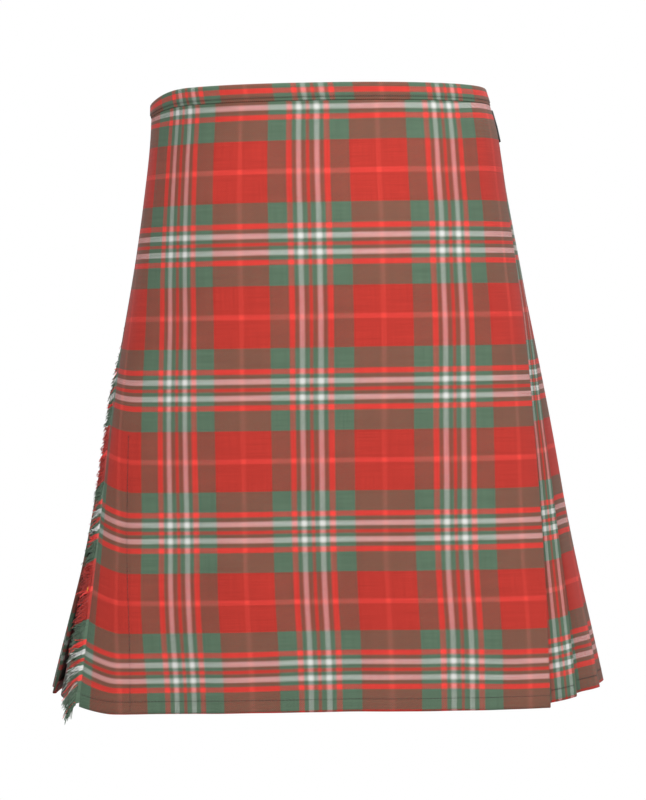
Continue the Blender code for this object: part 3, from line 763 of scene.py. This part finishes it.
z = cloth_levels(UNDER_ROWS)[:, None]
seam = pleat_start(z, PLEATS - PLEAT_DEPTH) - round_length(z)
s = seam + (UNDER_RIGHT - seam) * np.linspace(0, 1, UNDER_FACE)
r = under_offset(z, s)
level = np.broadcast_to(z, s.shape)
across = s - seam + UNDER_COLOUR_AT_SEAM
down = cloth_down(level)
level, s, r, across, down = turned_hem(level, s, r, across, down)
places = on_body(level, s, r)
inner_apron = woven("inner_apron", places, across, down)
sew(inner_apron, tartan, "tartan", "under_apron")


# ---- The waistband ----
# A straight strip of the tartan folded over the cloth's top edge from the fringe's side, round
# the body, to the under apron's end, and sewn through. Its bright red line runs along it.
BAND_BOTTOM, BAND_SEAT, BAND_ROUND, BAND_WALL, BAND_COLUMNS = -9.2, 1.5, 1.6, 0.7, 420
BAND_RED_AT, BAND_RED_DOWN, BAND_SLIP, APRON_COLOUR_TO = 3.4, 14.9, 7.0, 240.0

# How the lower edge is turned under, as heights over it and distances from the band's face,
# then how far the face is pressed in there and between which heights.
LOWER_EDGE = ((0.9, -1.05), (0.3, -0.95), (0.12, -0.75), (0.7, -0.62))
PRESSED_IN, PRESSED_FROM, PRESSED_TO = 0.7, 0.6, 5.5
PUCKER, PUCKER_AT, PUCKER_TALL = 0.13, -7.5, 1.6
SEWN_IN, SEWN_AT, SEWN_TALL = 0.38, -7.4, 0.9

z = 0.0
turn_length = float(round_length(z))
first, last = float(edge("over_left", z)), turn_length + UNDER_RIGHT
s = np.linspace(first, last, BAND_COLUMNS)
seam = turn_length + float(edge("last_pleat", z))
buried = float(pleat_start(z, -PLEAT_DEPTH))
pile = -float(pile_depth(z)) - BAND_SEAT
settled = float(under_offset(z, 0)) + BAND_SEAT
outer = apron_lift(s) * (s < 0) + BAND_SEAT
outer = outer + (settled - BAND_SEAT) * ramp(s, seam + 2, seam + 37)
inner = np.where(s < 0, apron_lift(s), 0) - BAND_SEAT
inner = inner + (pile + BAND_SEAT) * ramp(s, buried - 30, buried - 6)
under = under_offset(z, s - turn_length) - BAND_SEAT
inner = np.where(s > seam, np.minimum(pile, under), inner)
middle, half = (outer + inner) / 2, (outer - inner) / 2
corner = np.minimum(BAND_ROUND, half)
top = BAND_TOP - 0.5
path = [(BAND_BOTTOM + up, half + off) for up, off in LOWER_EDGE]
for height in np.linspace(BAND_BOTTOM + 1.4, top - BAND_ROUND, 12):
    free = ramp(height, BAND_BOTTOM + PRESSED_FROM, BAND_BOTTOM + PRESSED_TO)
    path.append((height, half + 0.1 - PRESSED_IN * (1 - free)))
face_ends = len(path)
sine, cosine = arc(9)
path += [(top - BAND_ROUND + BAND_ROUND * a, half - corner + corner * b) for a, b in zip(sine[1:5], cosine[1:5])]
mirrored = [(height, -across_half) for height, across_half in path[::-1][1:]]
path += [(top, half * 0)] + [(top, -half + corner)] + mirrored
height = np.array([np.broadcast_to(h, s.shape) for h, _ in path])
offset = np.array([middle + off for _, off in path])
pucker = PUCKER * np.sin(s / 1.9) * np.sin(s / 7.3 + 1) * np.exp(-(((height - PUCKER_AT) / PUCKER_TALL) ** 2))
sewn_in = SEWN_IN * np.exp(-(((height - SEWN_AT) / SEWN_TALL) ** 2))
offset = offset + np.where(offset > middle, pucker - sewn_in, sewn_in)
steps = [np.diff(grid, axis=0, prepend=grid[:1]) for grid in (height, offset)]
around = np.cumsum(np.hypot(*steps), axis=0)
red_line = int(np.argmin(abs(height[:face_ends, 0] - BAND_RED_AT)))
down = BAND_RED_DOWN - (around - around[red_line])
across = apron_across(0.0, np.clip(s, -400, APRON_COLOUR_TO)) - BAND_SLIP + np.maximum(s - APRON_COLOUR_TO, 0)
band = woven("band", on_body(height, s, offset), across, down, 0.0, BAND_WALL)
sew(band, tartan, "tartan", "waistband")


# ---- The fringe ----
# A narrow strip caught under the apron's folded left edge, its cross threads drawn out so that
# only the dyed weft yarns are left. They droop outwards, clump a little, and end unevenly.
FRINGE_TOP, FRINGE_END = -12.0, -594.0
FRINGE_TUCK, FRINGE_WOVEN, STRAND_REACH = 6.0, 11.0, 14.0
FRINGE_DROOP, STRAND_DROOP = 0.3, 0.45
FRINGE_SEAT = APRON_LIFT - 2.7
BACKING_WALL, BACKING_STEP, BACKING_COLUMNS = 0.8, 2.0, 9
YARN_GAP, YARN_SIZE, YARN_THINS, YARN_POINTS, CLUMP = 0.9, 0.5, 0.45, 7, 5
YARN_LAYERS = (FRINGE_TOP, FRINGE_TOP, -250.0, -572.0)
STRAY_YARNS, STRAY_REACH = 0.12, 0.22

# How far the yarns spread: a least share of their reach, and what it gains between two levels.
SPREAD_LEAST, LOWEST_YARNS = 0.4, (-545, -592)
SPREAD = ((0.6, -250, -290), (0.3, -330, -480), (-0.45, *LOWEST_YARNS))

# The tuft at the hem corner, where some yarns have slipped in from other stripes.
TUFT_TOP, TUFT_STRAYS = -560.0, (568.0, 567.0, 577.0)


def fringe_place(v, w, lift=0.0, fall=0.0):
    """w mm out from the apron's edge on the yarn that leaves it at the level v."""
    still_woven = np.clip(w, 0, FRINGE_WOVEN)
    spare = np.maximum(w - FRINGE_WOVEN, 0)
    z = v - still_woven * FRINGE_DROOP - spare * STRAND_DROOP - fall
    return on_body(z, edge("over_left", z) - w, FRINGE_SEAT + lift)


def crosswise(along, flat):
    """Two unit directions square to the directions along, the first one square to flat too."""
    side = np.cross(along, flat)
    side /= np.linalg.norm(side, axis=1)[:, None]
    other = np.cross(along, side)
    return side, other / np.linalg.norm(other, axis=1)[:, None]


def yarn_colour(v):
    return cloth_down(v) + edge_pull(v, edge("over_left", v))


def yarn_finish(name, streak, hairy):
    finish = Finish(name, Roughness=0.92, Sheen_Weight=0.2, Sheen_Roughness=0.5, Specular_IOR_Level=0.2)
    place, across, down = finish.cloth()
    colour = finish.bright(stripe_colour(finish, down, WEFT_SETT))
    hairs = finish.streaks(place, 60, streak, 0.0, 3.0, 0.6)
    finish.show("Base Color", finish.shade(colour, 0.95 + hairs.between(0.3, 0.7) * 0.9))
    finish.raised(hairs, 0.0003, hairy)
    return finish.material


v = np.arange(FRINGE_TOP, FRINGE_END, -BACKING_STEP)[:, None]
w = np.linspace(-FRINGE_TUCK, FRINGE_WOVEN, BACKING_COLUMNS)[None, :]
wander = 0.35 * np.sin(v / 5.3) * np.clip(w / FRINGE_WOVEN, 0, 1)
places = fringe_place(v, w + 0 * v, wander)
strip = woven("fringe_backing", places, w, yarn_colour(v), 0.0, BACKING_WALL)
sew(strip, yarn_finish("fringe_backing_yarn", 1100, 0.25), "fringe")

dice = random.Random(11)
points, faces, colours = [], [], []
for layer, top in enumerate(YARN_LAYERS):
    count = int((top - FRINGE_END) / YARN_GAP)
    clumps = [dice.uniform(-1, 1) for _ in range(count // CLUMP + 2)]
    for n in range(count):
        v = top - (n + dice.uniform(0.1, 0.9)) * YARN_GAP
        low, clump = float(ramp(v, *LOWEST_YARNS)), clumps[n // CLUMP]
        spread = float(sum((more * ramp(v, start, end) for more, start, end in SPREAD), SPREAD_LEAST))
        stray = STRAY_REACH if dice.random() < STRAY_YARNS else 0.0
        uneven = 0.86 + 0.18 * clump + dice.uniform(-0.36, 0.18) + stray
        reach = FRINGE_WOVEN + STRAND_REACH * uneven * spread
        fall_end = dice.uniform(-3.0, 4.0) + dice.uniform(6.0, 17.0) * low + clump * 1.8
        lift_end = dice.uniform(-0.2, 2.2) + 0.9 * layer
        share = np.linspace(0, 1, YARN_POINTS)
        wavy = dice.uniform(-0.6, 0.6) * np.sin(share * dice.uniform(4, 9))
        w = FRINGE_WOVEN - 3 + (reach - FRINGE_WOVEN + 3) * share
        path = fringe_place(v + 0 * share, w, 0.25 + lift_end * share, fall_end * share**1.6 + wavy)
        size = YARN_SIZE * MM * (1.0 - YARN_THINS * share) * dice.uniform(0.8, 1.2)
        side, other = crosswise(np.gradient(path, axis=0), (0.3, 0.5, 1.0))
        base = len(points)
        for angle in (0, 120, 240):
            turn = math.radians(angle)
            points += list(path + (side * math.cos(turn) + other * math.sin(turn)) * size[:, None])
        at = float(yarn_colour(v)) + dice.uniform(-1.2, 1.2)
        if v < TUFT_TOP and dice.random() < STRAY_YARNS:
            at = dice.choice(TUFT_STRAYS)
        own = dice.uniform(0, 900)
        for k in range(3):
            for m in range(YARN_POINTS - 1):
                a, b = base + k * YARN_POINTS + m, base + (k + 1) % 3 * YARN_POINTS + m
                faces.append((a, b, b + 1, a + 1))
                near, far = own + m * 2.5, own + m * 2.5 + 2.5
                colours += [(near, at), (near, at), (far, at), (far, at)]
yarns = new_piece("fringe_yarns", [tuple(p) for p in points], faces)
yarns.data.uv_layers.new(name="cloth").data.foreach_set("uv", (np.array(colours) * MM).reshape(-1))
sew(yarns, yarn_finish("fringe_yarn", 1500, 0.6), "fringe", "fringe_strip")


# ---- The sewing ----
# Dark thread: a run along the turned-up hems of the over apron and the pleats, one along the waistband's lower edge,
# and one that holds the over apron's left facing down, about 50 mm in from its edge.
THREAD, HEM_THREAD, BAND_THREAD, FACING_THREAD, LOOSE_THREAD = 0.26, 0.42, 0.36, 0.34, 0.5
STITCH, STITCH_GAP, BAND_STITCH, BAND_STITCH_GAP = 2.4, 3.3, 1.9, 2.6
STITCH_SIDES, STITCH_RINGS = 5, ((0.0, 0.35), (0.14, 1.0), (0.86, 1.0), (1.0, 0.35))
BAND_STITCH_LEVEL, BAND_STITCHED_TO, FACING_FROM = -5.6, 228.0, -330.0


def stitches(name, starts, ends, thick=THREAD):
    """Small rounded bars from each start to its end, arrays of places in metres."""
    along = ends - starts
    flat = np.array((0.21, 0.13, 1.0))
    upright = np.linalg.norm(np.cross(along, flat), axis=1) < 0.2 * np.linalg.norm(along, axis=1)
    side, other = crosswise(along, np.where(upright[:, None], (1.0, 0.2, 0.1), flat))
    points, faces = [], []
    for share, size in STITCH_RINGS:
        for k in range(STITCH_SIDES):
            turn = 2 * math.pi * k / STITCH_SIDES
            ring = side * math.cos(turn) + other * math.sin(turn)
            points.append(starts + along * share + ring * size * thick * MM)
    round_it = np.arange(STITCH_SIDES)
    for base in range(0, len(starts) * len(points), len(points)):
        for first in base + STITCH_SIDES * np.arange(len(STITCH_RINGS) - 1):
            a, b = first + round_it, first + np.roll(round_it, -1)
            faces += np.stack([a, b, b + STITCH_SIDES, a + STITCH_SIDES], -1).tolist()
        faces += [(base + round_it[::-1]).tolist(), (base + len(points) - STITCH_SIDES + round_it).tolist()]
    return new_piece(name, np.stack(points, 1).reshape(-1, 3).tolist(), faces)


def thread_finish(name, colour):
    finish = Finish(name, Roughness=0.7, Sheen_Weight=0.2)
    place = finish.solid()
    twist = finish.mottle(place, 1800, 2.0)
    finish.show("Base Color", finish.shade(colour, 0.7 + twist * 0.6))
    finish.raised(twist, 0.0001)
    return finish.material


dark_thread = thread_finish("dark_thread", (0.022, 0.016, 0.013))

s = np.arange(float(edge("over_left", HEM)) + 3, float(edge("over_right", HEM)) - 2, STITCH_GAP)
z = HEM + TURN_UP + 0.5
r = apron_lift(s) + CLOTH / 2 + 0.05
starts = on_body(z - sag(z, s), s, r)
ends = on_body(z - sag(z, s + STITCH), s + STITCH, r)
sew(stitches("hem_stitches_front", starts, ends), dark_thread, "tartan")

starts, ends = [], []
for number in range(1, PLEATS + 1):
    first, last = float(pleat_start(z, number - 1.0)) + 2, float(pleat_start(z, float(number))) - 2
    pitch = last - first + 4
    s = np.arange(first, last - STITCH, STITCH_GAP)
    for spots, shift in ((starts, 0), (ends, STITCH)):
        turns = number - 1 + (s - first + 2 + shift) / pitch
        at_s, at_r = pleat_face(np.full_like(s, z), number, turns)
        spots.append(on_body(z + pleat_rise(np.full_like(s, z), at_s), at_s, at_r + 0.7))
sew(stitches("hem_stitches_pleats", np.vstack(starts), np.vstack(ends), HEM_THREAD), dark_thread, "tartan")

z = BAND_STITCH_LEVEL
s = np.arange(float(edge("over_left", z)) + 2, turn_length - BAND_STITCHED_TO, BAND_STITCH_GAP)
at = np.where(s < 0, apron_lift(s), 0) + BAND_SEAT + 0.06
starts, ends = on_body(z, s, at), on_body(z - 0.3, s + BAND_STITCH, at)
sew(stitches("waistband_stitches", starts, ends, BAND_THREAD), dark_thread, "tartan")

z = np.arange(FACING_FROM, HEM + 4, -STITCH_GAP)
s = smooth_rows(CREASE, CREASE_COLUMNS, z)["s"] + 0.5 * np.sin(z / 31)
starts = on_body(z - sag(z, s), s, apron_lift(s) + CLOTH / 2 - 0.1)
z_end = z - STITCH
ends = on_body(z_end - sag(z_end, s), s, apron_lift(s) + CLOTH / 2 - 0.1)
sew(stitches("facing_stitches", starts, ends, FACING_THREAD), dark_thread, "tartan")

# One loose end of orange basting thread is left hanging in the fringe.
z = np.array([-481.0, -485.5])
s = edge("over_left", z) - np.array([9.0, 8.0])
place = on_body(z, s, FRINGE_SEAT + np.array([3.0, 3.6]))
orange_thread = thread_finish("orange_thread", (0.75, 0.30, 0.03))
sew(stitches("thread_end", place[:1], place[1:], LOOSE_THREAD), orange_thread, "fringe")


# ---- The straps and buckles ----
# Two black bridle-leather straps close the wrap, one on each hip. Each is sewn to one layer and
# goes under its buckle's front bar and on through a leather keeper. The nickel buckle turns on
# a chape of thinner leather sewn to the next layer.
STRAP_WIDTH, STRAP_THICK, STRAP_LEVEL, STRAP_END = 32.0, 2.0, -29.0, 150.0
GAP, WALL = 0.3, 1.1
ON_CLOTH = WALL / 2 + GAP + STRAP_THICK / 2
CHAPE_THICK, CHAPE_REACH = 1.4, 36.0
BUCKLE_AT, BUCKLE_LENGTH, BUCKLE_PLAY, CORNER = 80.0, 24.0, 2.0, 5.0
HEEL_AT, FRONT_AT = BUCKLE_AT + BUCKLE_LENGTH / 2, BUCKLE_AT - BUCKLE_LENGTH / 2
WIRE, PRONG, BAR_PLAY = 1.3, 0.9, 1.0
HEEL_HEIGHT = WALL / 2 + GAP + CHAPE_THICK + BAR_PLAY + WIRE
FRONT_HEIGHT = ON_CLOTH + STRAP_THICK / 2 + BAR_PLAY + WIRE
LEAF_HEIGHT = WALL / 2 + 2 * GAP + 1.5 * CHAPE_THICK
KEEPER_AT, KEEPER_WIDTH, KEEPER_WALL, KEEPER_CORNER = 24.0, 8.0, 0.8, 0.5
TIP, PRONG_HOLE, SPARE_HOLE, SPARE_HOLES_OFF = 14.0, (6, 14, 3), (4.2, 8, 2.8), 16.0
CHAPE_SLOT = (13, 16, 2 * PRONG + 1.6)
LEATHER_THREAD, LEATHER_STITCH, LEATHER_STITCH_GAP, STITCHED_IN = 0.28, 2.3, 3.4, 2.6

# The eased edge of a strap: how far in from its side, and how far from its middle, in
# thicknesses.
EASED_EDGE = ((0, 0.18), (0.09, 0.42), (0.32, 0.5))


class Closure:
    """Places on one strap's run: t mm along it from where it leaves the apron's edge."""

    def __init__(self, name, start, direction):
        self.name, self.start, self.direction = name, start, direction
        self.length = float(round_length(STRAP_LEVEL))

    def spot(self, t, r, z=0.0):
        """The width runs straight down the flare, so arc lengths grow with the ring."""
        t, r, z = np.broadcast_arrays(np.asarray(t, float), r, z)
        grown = round_length(STRAP_LEVEL + z) / self.length
        return on_body(STRAP_LEVEL + z, (self.start + self.direction * t) * grown, r)

    def axes(self, start, end):
        """Axes midway between two spots (t, r), with X from the first to the second."""
        first, second = Vector(self.spot(*start)), Vector(self.spot(*end))
        along = (second - first).normalized()
        up = Vector(self.spot(*end, 1)) - Vector(self.spot(*end, -1))
        outward = (along.cross(up) * self.direction).normalized()
        matrix = Matrix((along, outward, along.cross(outward))).transposed().to_4x4()
        matrix.translation = (first + second) / 2
        return matrix

    def axes_at(self, t, r):
        """Axes at one spot, with X along the run."""
        return self.axes((t - 1, r), (t + 1, r))


def loft(name, rings, closed=False):
    """A smooth skin over rings of points [ring, point], capped unless it closes on itself."""
    rings = np.asarray(rings)
    count, around = rings.shape[:2]
    faces = []
    k = np.arange(around)
    for n in range(count if closed else count - 1):
        here, there = n * around, (n + 1) % count * around
        faces += np.stack([here + k, here + np.roll(k, -1), there + np.roll(k, -1), there + k], -1).tolist()
    if not closed:
        faces += [k[::-1].tolist(), ((count - 1) * around + k).tolist()]
    return new_piece(name, rings.reshape(-1, 3).tolist(), faces)


def eased_path(knots, spacing):
    path = []
    for (t0, r0), (t1, r1) in zip(knots, knots[1:]):
        count = max(2, round((t1 - t0) / spacing))
        for k in range(count):
            share = k / count
            path.append((t0 + (t1 - t0) * share, r0 + (r1 - r0) * float(ramp(share, 0, 1))))
    return path + [knots[-1]]


def leather_band(closure, name, path, width, thick, tip=0.0):
    """A strap along path, a list of (t, r), with eased edges and an optional pointed tip."""
    path = np.array(path)
    along = np.gradient(path, axis=0)
    along /= np.linalg.norm(along, axis=1)[:, None]
    out = np.stack([-along[:, 1], along[:, 0]], -1)
    half = np.full(len(path), width / 2)
    left = path[-1, 0] - path[:, 0]
    if tip:
        half = half * np.where(left < tip, 0.2 + 0.8 * np.sqrt(np.clip(left / tip, 0, 1)), 1)
    section = []
    for face in (1, -1):
        section += [(face, inset, off * face) for inset, off in EASED_EDGE]
        section.append((0, 0, 0.5 * face))
        section += [(-face, inset, off * face) for inset, off in EASED_EDGE[::-1]]
    rings = []
    for side, inset, off in section:
        at = path + out * (off * thick)
        rings.append(closure.spot(at[:, 0], at[:, 1], side * (half - inset * thick)))
    return loft(name, np.stack(rings, 1))


def leather_finish():
    finish = Finish("bridle_leather", Roughness=0.42, Specular_IOR_Level=0.5)
    place = finish.solid()
    grain = finish.node("ShaderNodeTexVoronoi", {"feature": "F1"}, {"Vector": place, "Scale": 1500.0})
    pores = finish.mottle(place, 700, 4.0, 0.6)
    worn = finish.mottle(place, 60, 3.0)
    colour = finish.mix((0.010, 0.009, 0.009, 1), (0.030, 0.026, 0.024, 1), worn.between(0.45, 0.75))
    finish.show("Base Color", colour)
    finish.show("Roughness", 0.36 + worn * 0.2)
    finish.raised(grain * 0.6 + pores * 0.6, 0.00012, 0.7)
    return finish.material


def nickel_finish():
    finish = Finish("nickel_plate", Metallic=1.0, Roughness=0.24)
    place = finish.solid()
    cloud = finish.mottle(place, 220, 4.0)
    finish.show("Base Color", finish.mix((0.55, 0.53, 0.49, 1), (0.72, 0.70, 0.66, 1), cloud))
    finish.show("Roughness", 0.16 + cloud * 0.2)
    finish.raised(finish.mottle(place, 900, 2.0), 0.00004, 0.4)
    return finish.material


leather, nickel = leather_finish(), nickel_finish()
leather_thread = thread_finish("waxed_thread", (0.03, 0.027, 0.024))


def tube(name, path, sizes, matrix, closed, sides=10):
    """A round bar along path in the axes of matrix, sizes being its radius at each point."""
    path = np.asarray(path, float)
    if closed:
        along, flat = np.roll(path, -1, 0) - np.roll(path, 1, 0), (0.0, 1.0, 0.0)
    else:
        along, flat = np.gradient(path, axis=0), (0.0, 0.0, 1.0)
    side, other = crosswise(along, flat)
    rings = []
    for k in range(sides):
        turn = -2 * math.pi * k / sides
        rings.append(path + (side * math.cos(turn) + other * math.sin(turn)) * np.asarray(sizes)[:, None])
    grid = np.stack(rings, 1) * MM
    places = [matrix @ Vector(p) for p in grid.reshape(-1, 3)]
    return loft(name, np.array(places).reshape(grid.shape), closed)


def punch(target, holes):
    """Cuts oval holes, each given by its axes, its middle in them and its size, in a piece."""
    for matrix, centre, size in holes:
        turn = np.linspace(0, 2 * math.pi, 17)[:-1]
        half = np.array(size) / 2
        rim = np.stack([half[0] * np.cos(turn), 0 * turn, half[2] * np.sin(turn)], -1)
        rings = []
        for depth in (-half[1], half[1]):
            ring = rim + np.array((centre[0], centre[1] + depth, centre[2]))
            rings.append([matrix @ Vector(p * MM) for p in ring])
        drill = loft("punch", np.array(rings))
        cut = target.modifiers.new("hole", "BOOLEAN")
        cut.operation = "DIFFERENCE"
        cut.object = drill
        bpy.context.view_layer.update()
        seen_now = bpy.context.evaluated_depsgraph_get()
        punched = bpy.data.meshes.new_from_object(target.evaluated_get(seen_now))
        target.modifiers.remove(cut)
        target.data = punched
        bpy.data.objects.remove(drill)


def rounded(half_wide, half_tall, corner, steps, outside=0.0):
    """Points round a rectangle with round corners, or round one that much outside it."""
    points = []
    for n, (x, y) in enumerate(((1, 1), (-1, 1), (-1, -1), (1, -1))):
        for turn in np.radians(90 * n + np.linspace(0, 90, steps)):
            across = x * (half_wide - corner) + (corner + outside) * math.cos(turn)
            points.append((across, y * (half_tall - corner) + (corner + outside) * math.sin(turn)))
    return points


def buckle(closure):
    name = closure.name
    half = STRAP_WIDTH / 2 + GAP + WIRE + BUCKLE_PLAY
    front, heel = (FRONT_AT, FRONT_HEIGHT), (HEEL_AT, HEEL_HEIGHT)
    metal = closure.axes(front, heel)
    reach = (Vector(closure.spot(*heel)) - Vector(closure.spot(*front))).length / 2 / MM
    outline = [(x, 0, z) for x, z in rounded(reach, half, CORNER, 7)]
    frame_bar = tube(f"buckle_{name}", outline, [WIRE] * len(outline), metal, True, 12)
    sew(frame_bar, nickel, "nickel", f"buckle_frame_{name}")

    loop = WIRE + GAP + PRONG
    points = [(reach + loop * math.cos(a), loop * math.sin(a), 0) for a in np.radians(np.arange(-150, 91, 16))]
    for share in np.linspace(0.12, 1.0, 12):
        points.append((reach - share * 2 * reach, loop + 0.5 * math.sin(math.pi * share), 0))
    points.append((-reach - WIRE, WIRE + PRONG * 0.8, 0))
    sizes = [PRONG] * (len(points) - 6) + [PRONG * f for f in (1, 0.97, 0.92, 0.85, 0.75, 0.55)]
    sew(tube(f"prong_{name}", points, sizes, metal, False), nickel, "nickel", f"buckle_prong_{name}")

    turn_radius = WIRE + BAR_PLAY + CHAPE_THICK / 2
    low, leaf = HEEL_HEIGHT - turn_radius, LEAF_HEIGHT
    path = [(t, low) for t in np.linspace(HEEL_AT + CHAPE_REACH, HEEL_AT + 3, 9)]
    for angle in np.radians(np.arange(-90, -271, -18)):
        path.append((HEEL_AT + turn_radius * math.cos(angle), HEEL_HEIGHT + turn_radius * math.sin(angle)))
    path += [(HEEL_AT + on, leaf + up) for on, up in ((4, 2.9), (6.5, 1.8), (9, 0.9), (14, 0.1))]
    path += [(t, leaf) for t in np.linspace(HEEL_AT + 18, HEEL_AT + CHAPE_REACH, 4)]
    chape = leather_band(closure, f"buckle_chape_{name}", path[::-1], STRAP_WIDTH, CHAPE_THICK)
    punch(chape, [(metal, (reach, 0, 0), CHAPE_SLOT)])
    sew(chape, leather, "leather", f"chape_{name}")

    base = leaf + CHAPE_THICK / 2 + GAP
    at = closure.axes_at(HEEL_AT + KEEPER_AT, base)
    tall, wide = STRAP_THICK / 2 + GAP, STRAP_WIDTH / 2 + 2 * GAP
    inside = rounded(tall, wide, KEEPER_CORNER, 4)
    outside = rounded(tall, wide, KEEPER_CORNER, 4, KEEPER_WALL)
    rings = []
    for inner, outer in zip(inside, outside):
        cell = []
        for (y, z), x in ((inner, -1), (outer, -0.86), (outer, 0.86), (inner, 1)):
            cell.append(at @ (Vector((x * KEEPER_WIDTH / 2, y + tall + KEEPER_WALL, z)) * MM))
        rings.append(cell)
    sew(loft(f"strap_keeper_{name}", np.array(rings), True), leather, "leather", f"keeper_{name}")


def strap(closure, root, sewn_from, sewn_to):
    name, past_chape = closure.name, HEEL_AT + CHAPE_REACH
    over_heel = HEEL_HEIGHT + WIRE + BAR_PLAY + CHAPE_THICK + GAP + STRAP_THICK / 2
    in_keeper = LEAF_HEIGHT + CHAPE_THICK / 2 + 2 * GAP + KEEPER_WALL + STRAP_THICK / 2
    knots = root + [
        (FRONT_AT + 2, ON_CLOTH),
        (HEEL_AT - 2, over_heel),
        (HEEL_AT + 5, over_heel - 0.4),
        (HEEL_AT + 15, in_keeper),
        (past_chape, in_keeper),
        (past_chape + 12, ON_CLOTH),
        (STRAP_END - TIP, ON_CLOTH),
        (STRAP_END, ON_CLOTH),
    ]
    path = [spot for spot in eased_path(knots, 3.0) if spot[0] < STRAP_END - TIP]
    path += [(STRAP_END - TIP * (1 - share) ** 2, ON_CLOTH) for share in np.linspace(0, 1, 12)]
    made = leather_band(closure, f"leather_strap_{name}", path, STRAP_WIDTH, STRAP_THICK, TIP)
    holes = [(closure.axes_at(BUCKLE_AT + 3, HEEL_HEIGHT + WIRE + PRONG), (0, 0, 0), PRONG_HOLE)]
    for t in (FRONT_AT - SPARE_HOLES_OFF, past_chape + SPARE_HOLES_OFF):
        holes.append((closure.axes_at(t, ON_CLOTH), (0, 0, 0), SPARE_HOLE))
    punch(made, holes)
    sew(made, leather, "leather", f"strap_{name}")
    t = np.arange(sewn_from, sewn_to, LEATHER_STITCH_GAP)
    ts, rs = np.array(path).T
    rows = [[], []]
    for side in (1, -1):
        for row, at in zip(rows, (t, t + LEATHER_STITCH)):
            on_face = np.interp(at, ts, rs) + STRAP_THICK / 2
            row.append(closure.spot(at, on_face, side * (STRAP_WIDTH / 2 - STITCHED_IN)))
    made = stitches(f"strap_stitches_{name}", np.vstack(rows[0]), np.vstack(rows[1]), LEATHER_THREAD)
    sew(made, leather_thread, "leather")


wearers_left = Closure("left", float(edge("over_right", STRAP_LEVEL)), 1)
buried_at = float(under_offset(STRAP_LEVEL, 0)) + WALL / 2 + GAP + STRAP_THICK / 2
strap(wearers_left, [(-60, buried_at), (5, buried_at), (19, ON_CLOTH)], 22, STRAP_END - TIP - 2)
buckle(wearers_left)
wearers_right = Closure("right", float(edge("over_left", STRAP_LEVEL)), -1)
on_apron = APRON_LIFT + WALL / 2 + GAP + STRAP_THICK / 2
strap(wearers_right, [(-10, on_apron), (2, on_apron), (10, 4.9), (24, 4.7), (41, ON_CLOTH)], -8, STRAP_END - TIP - 2)
buckle(wearers_right)
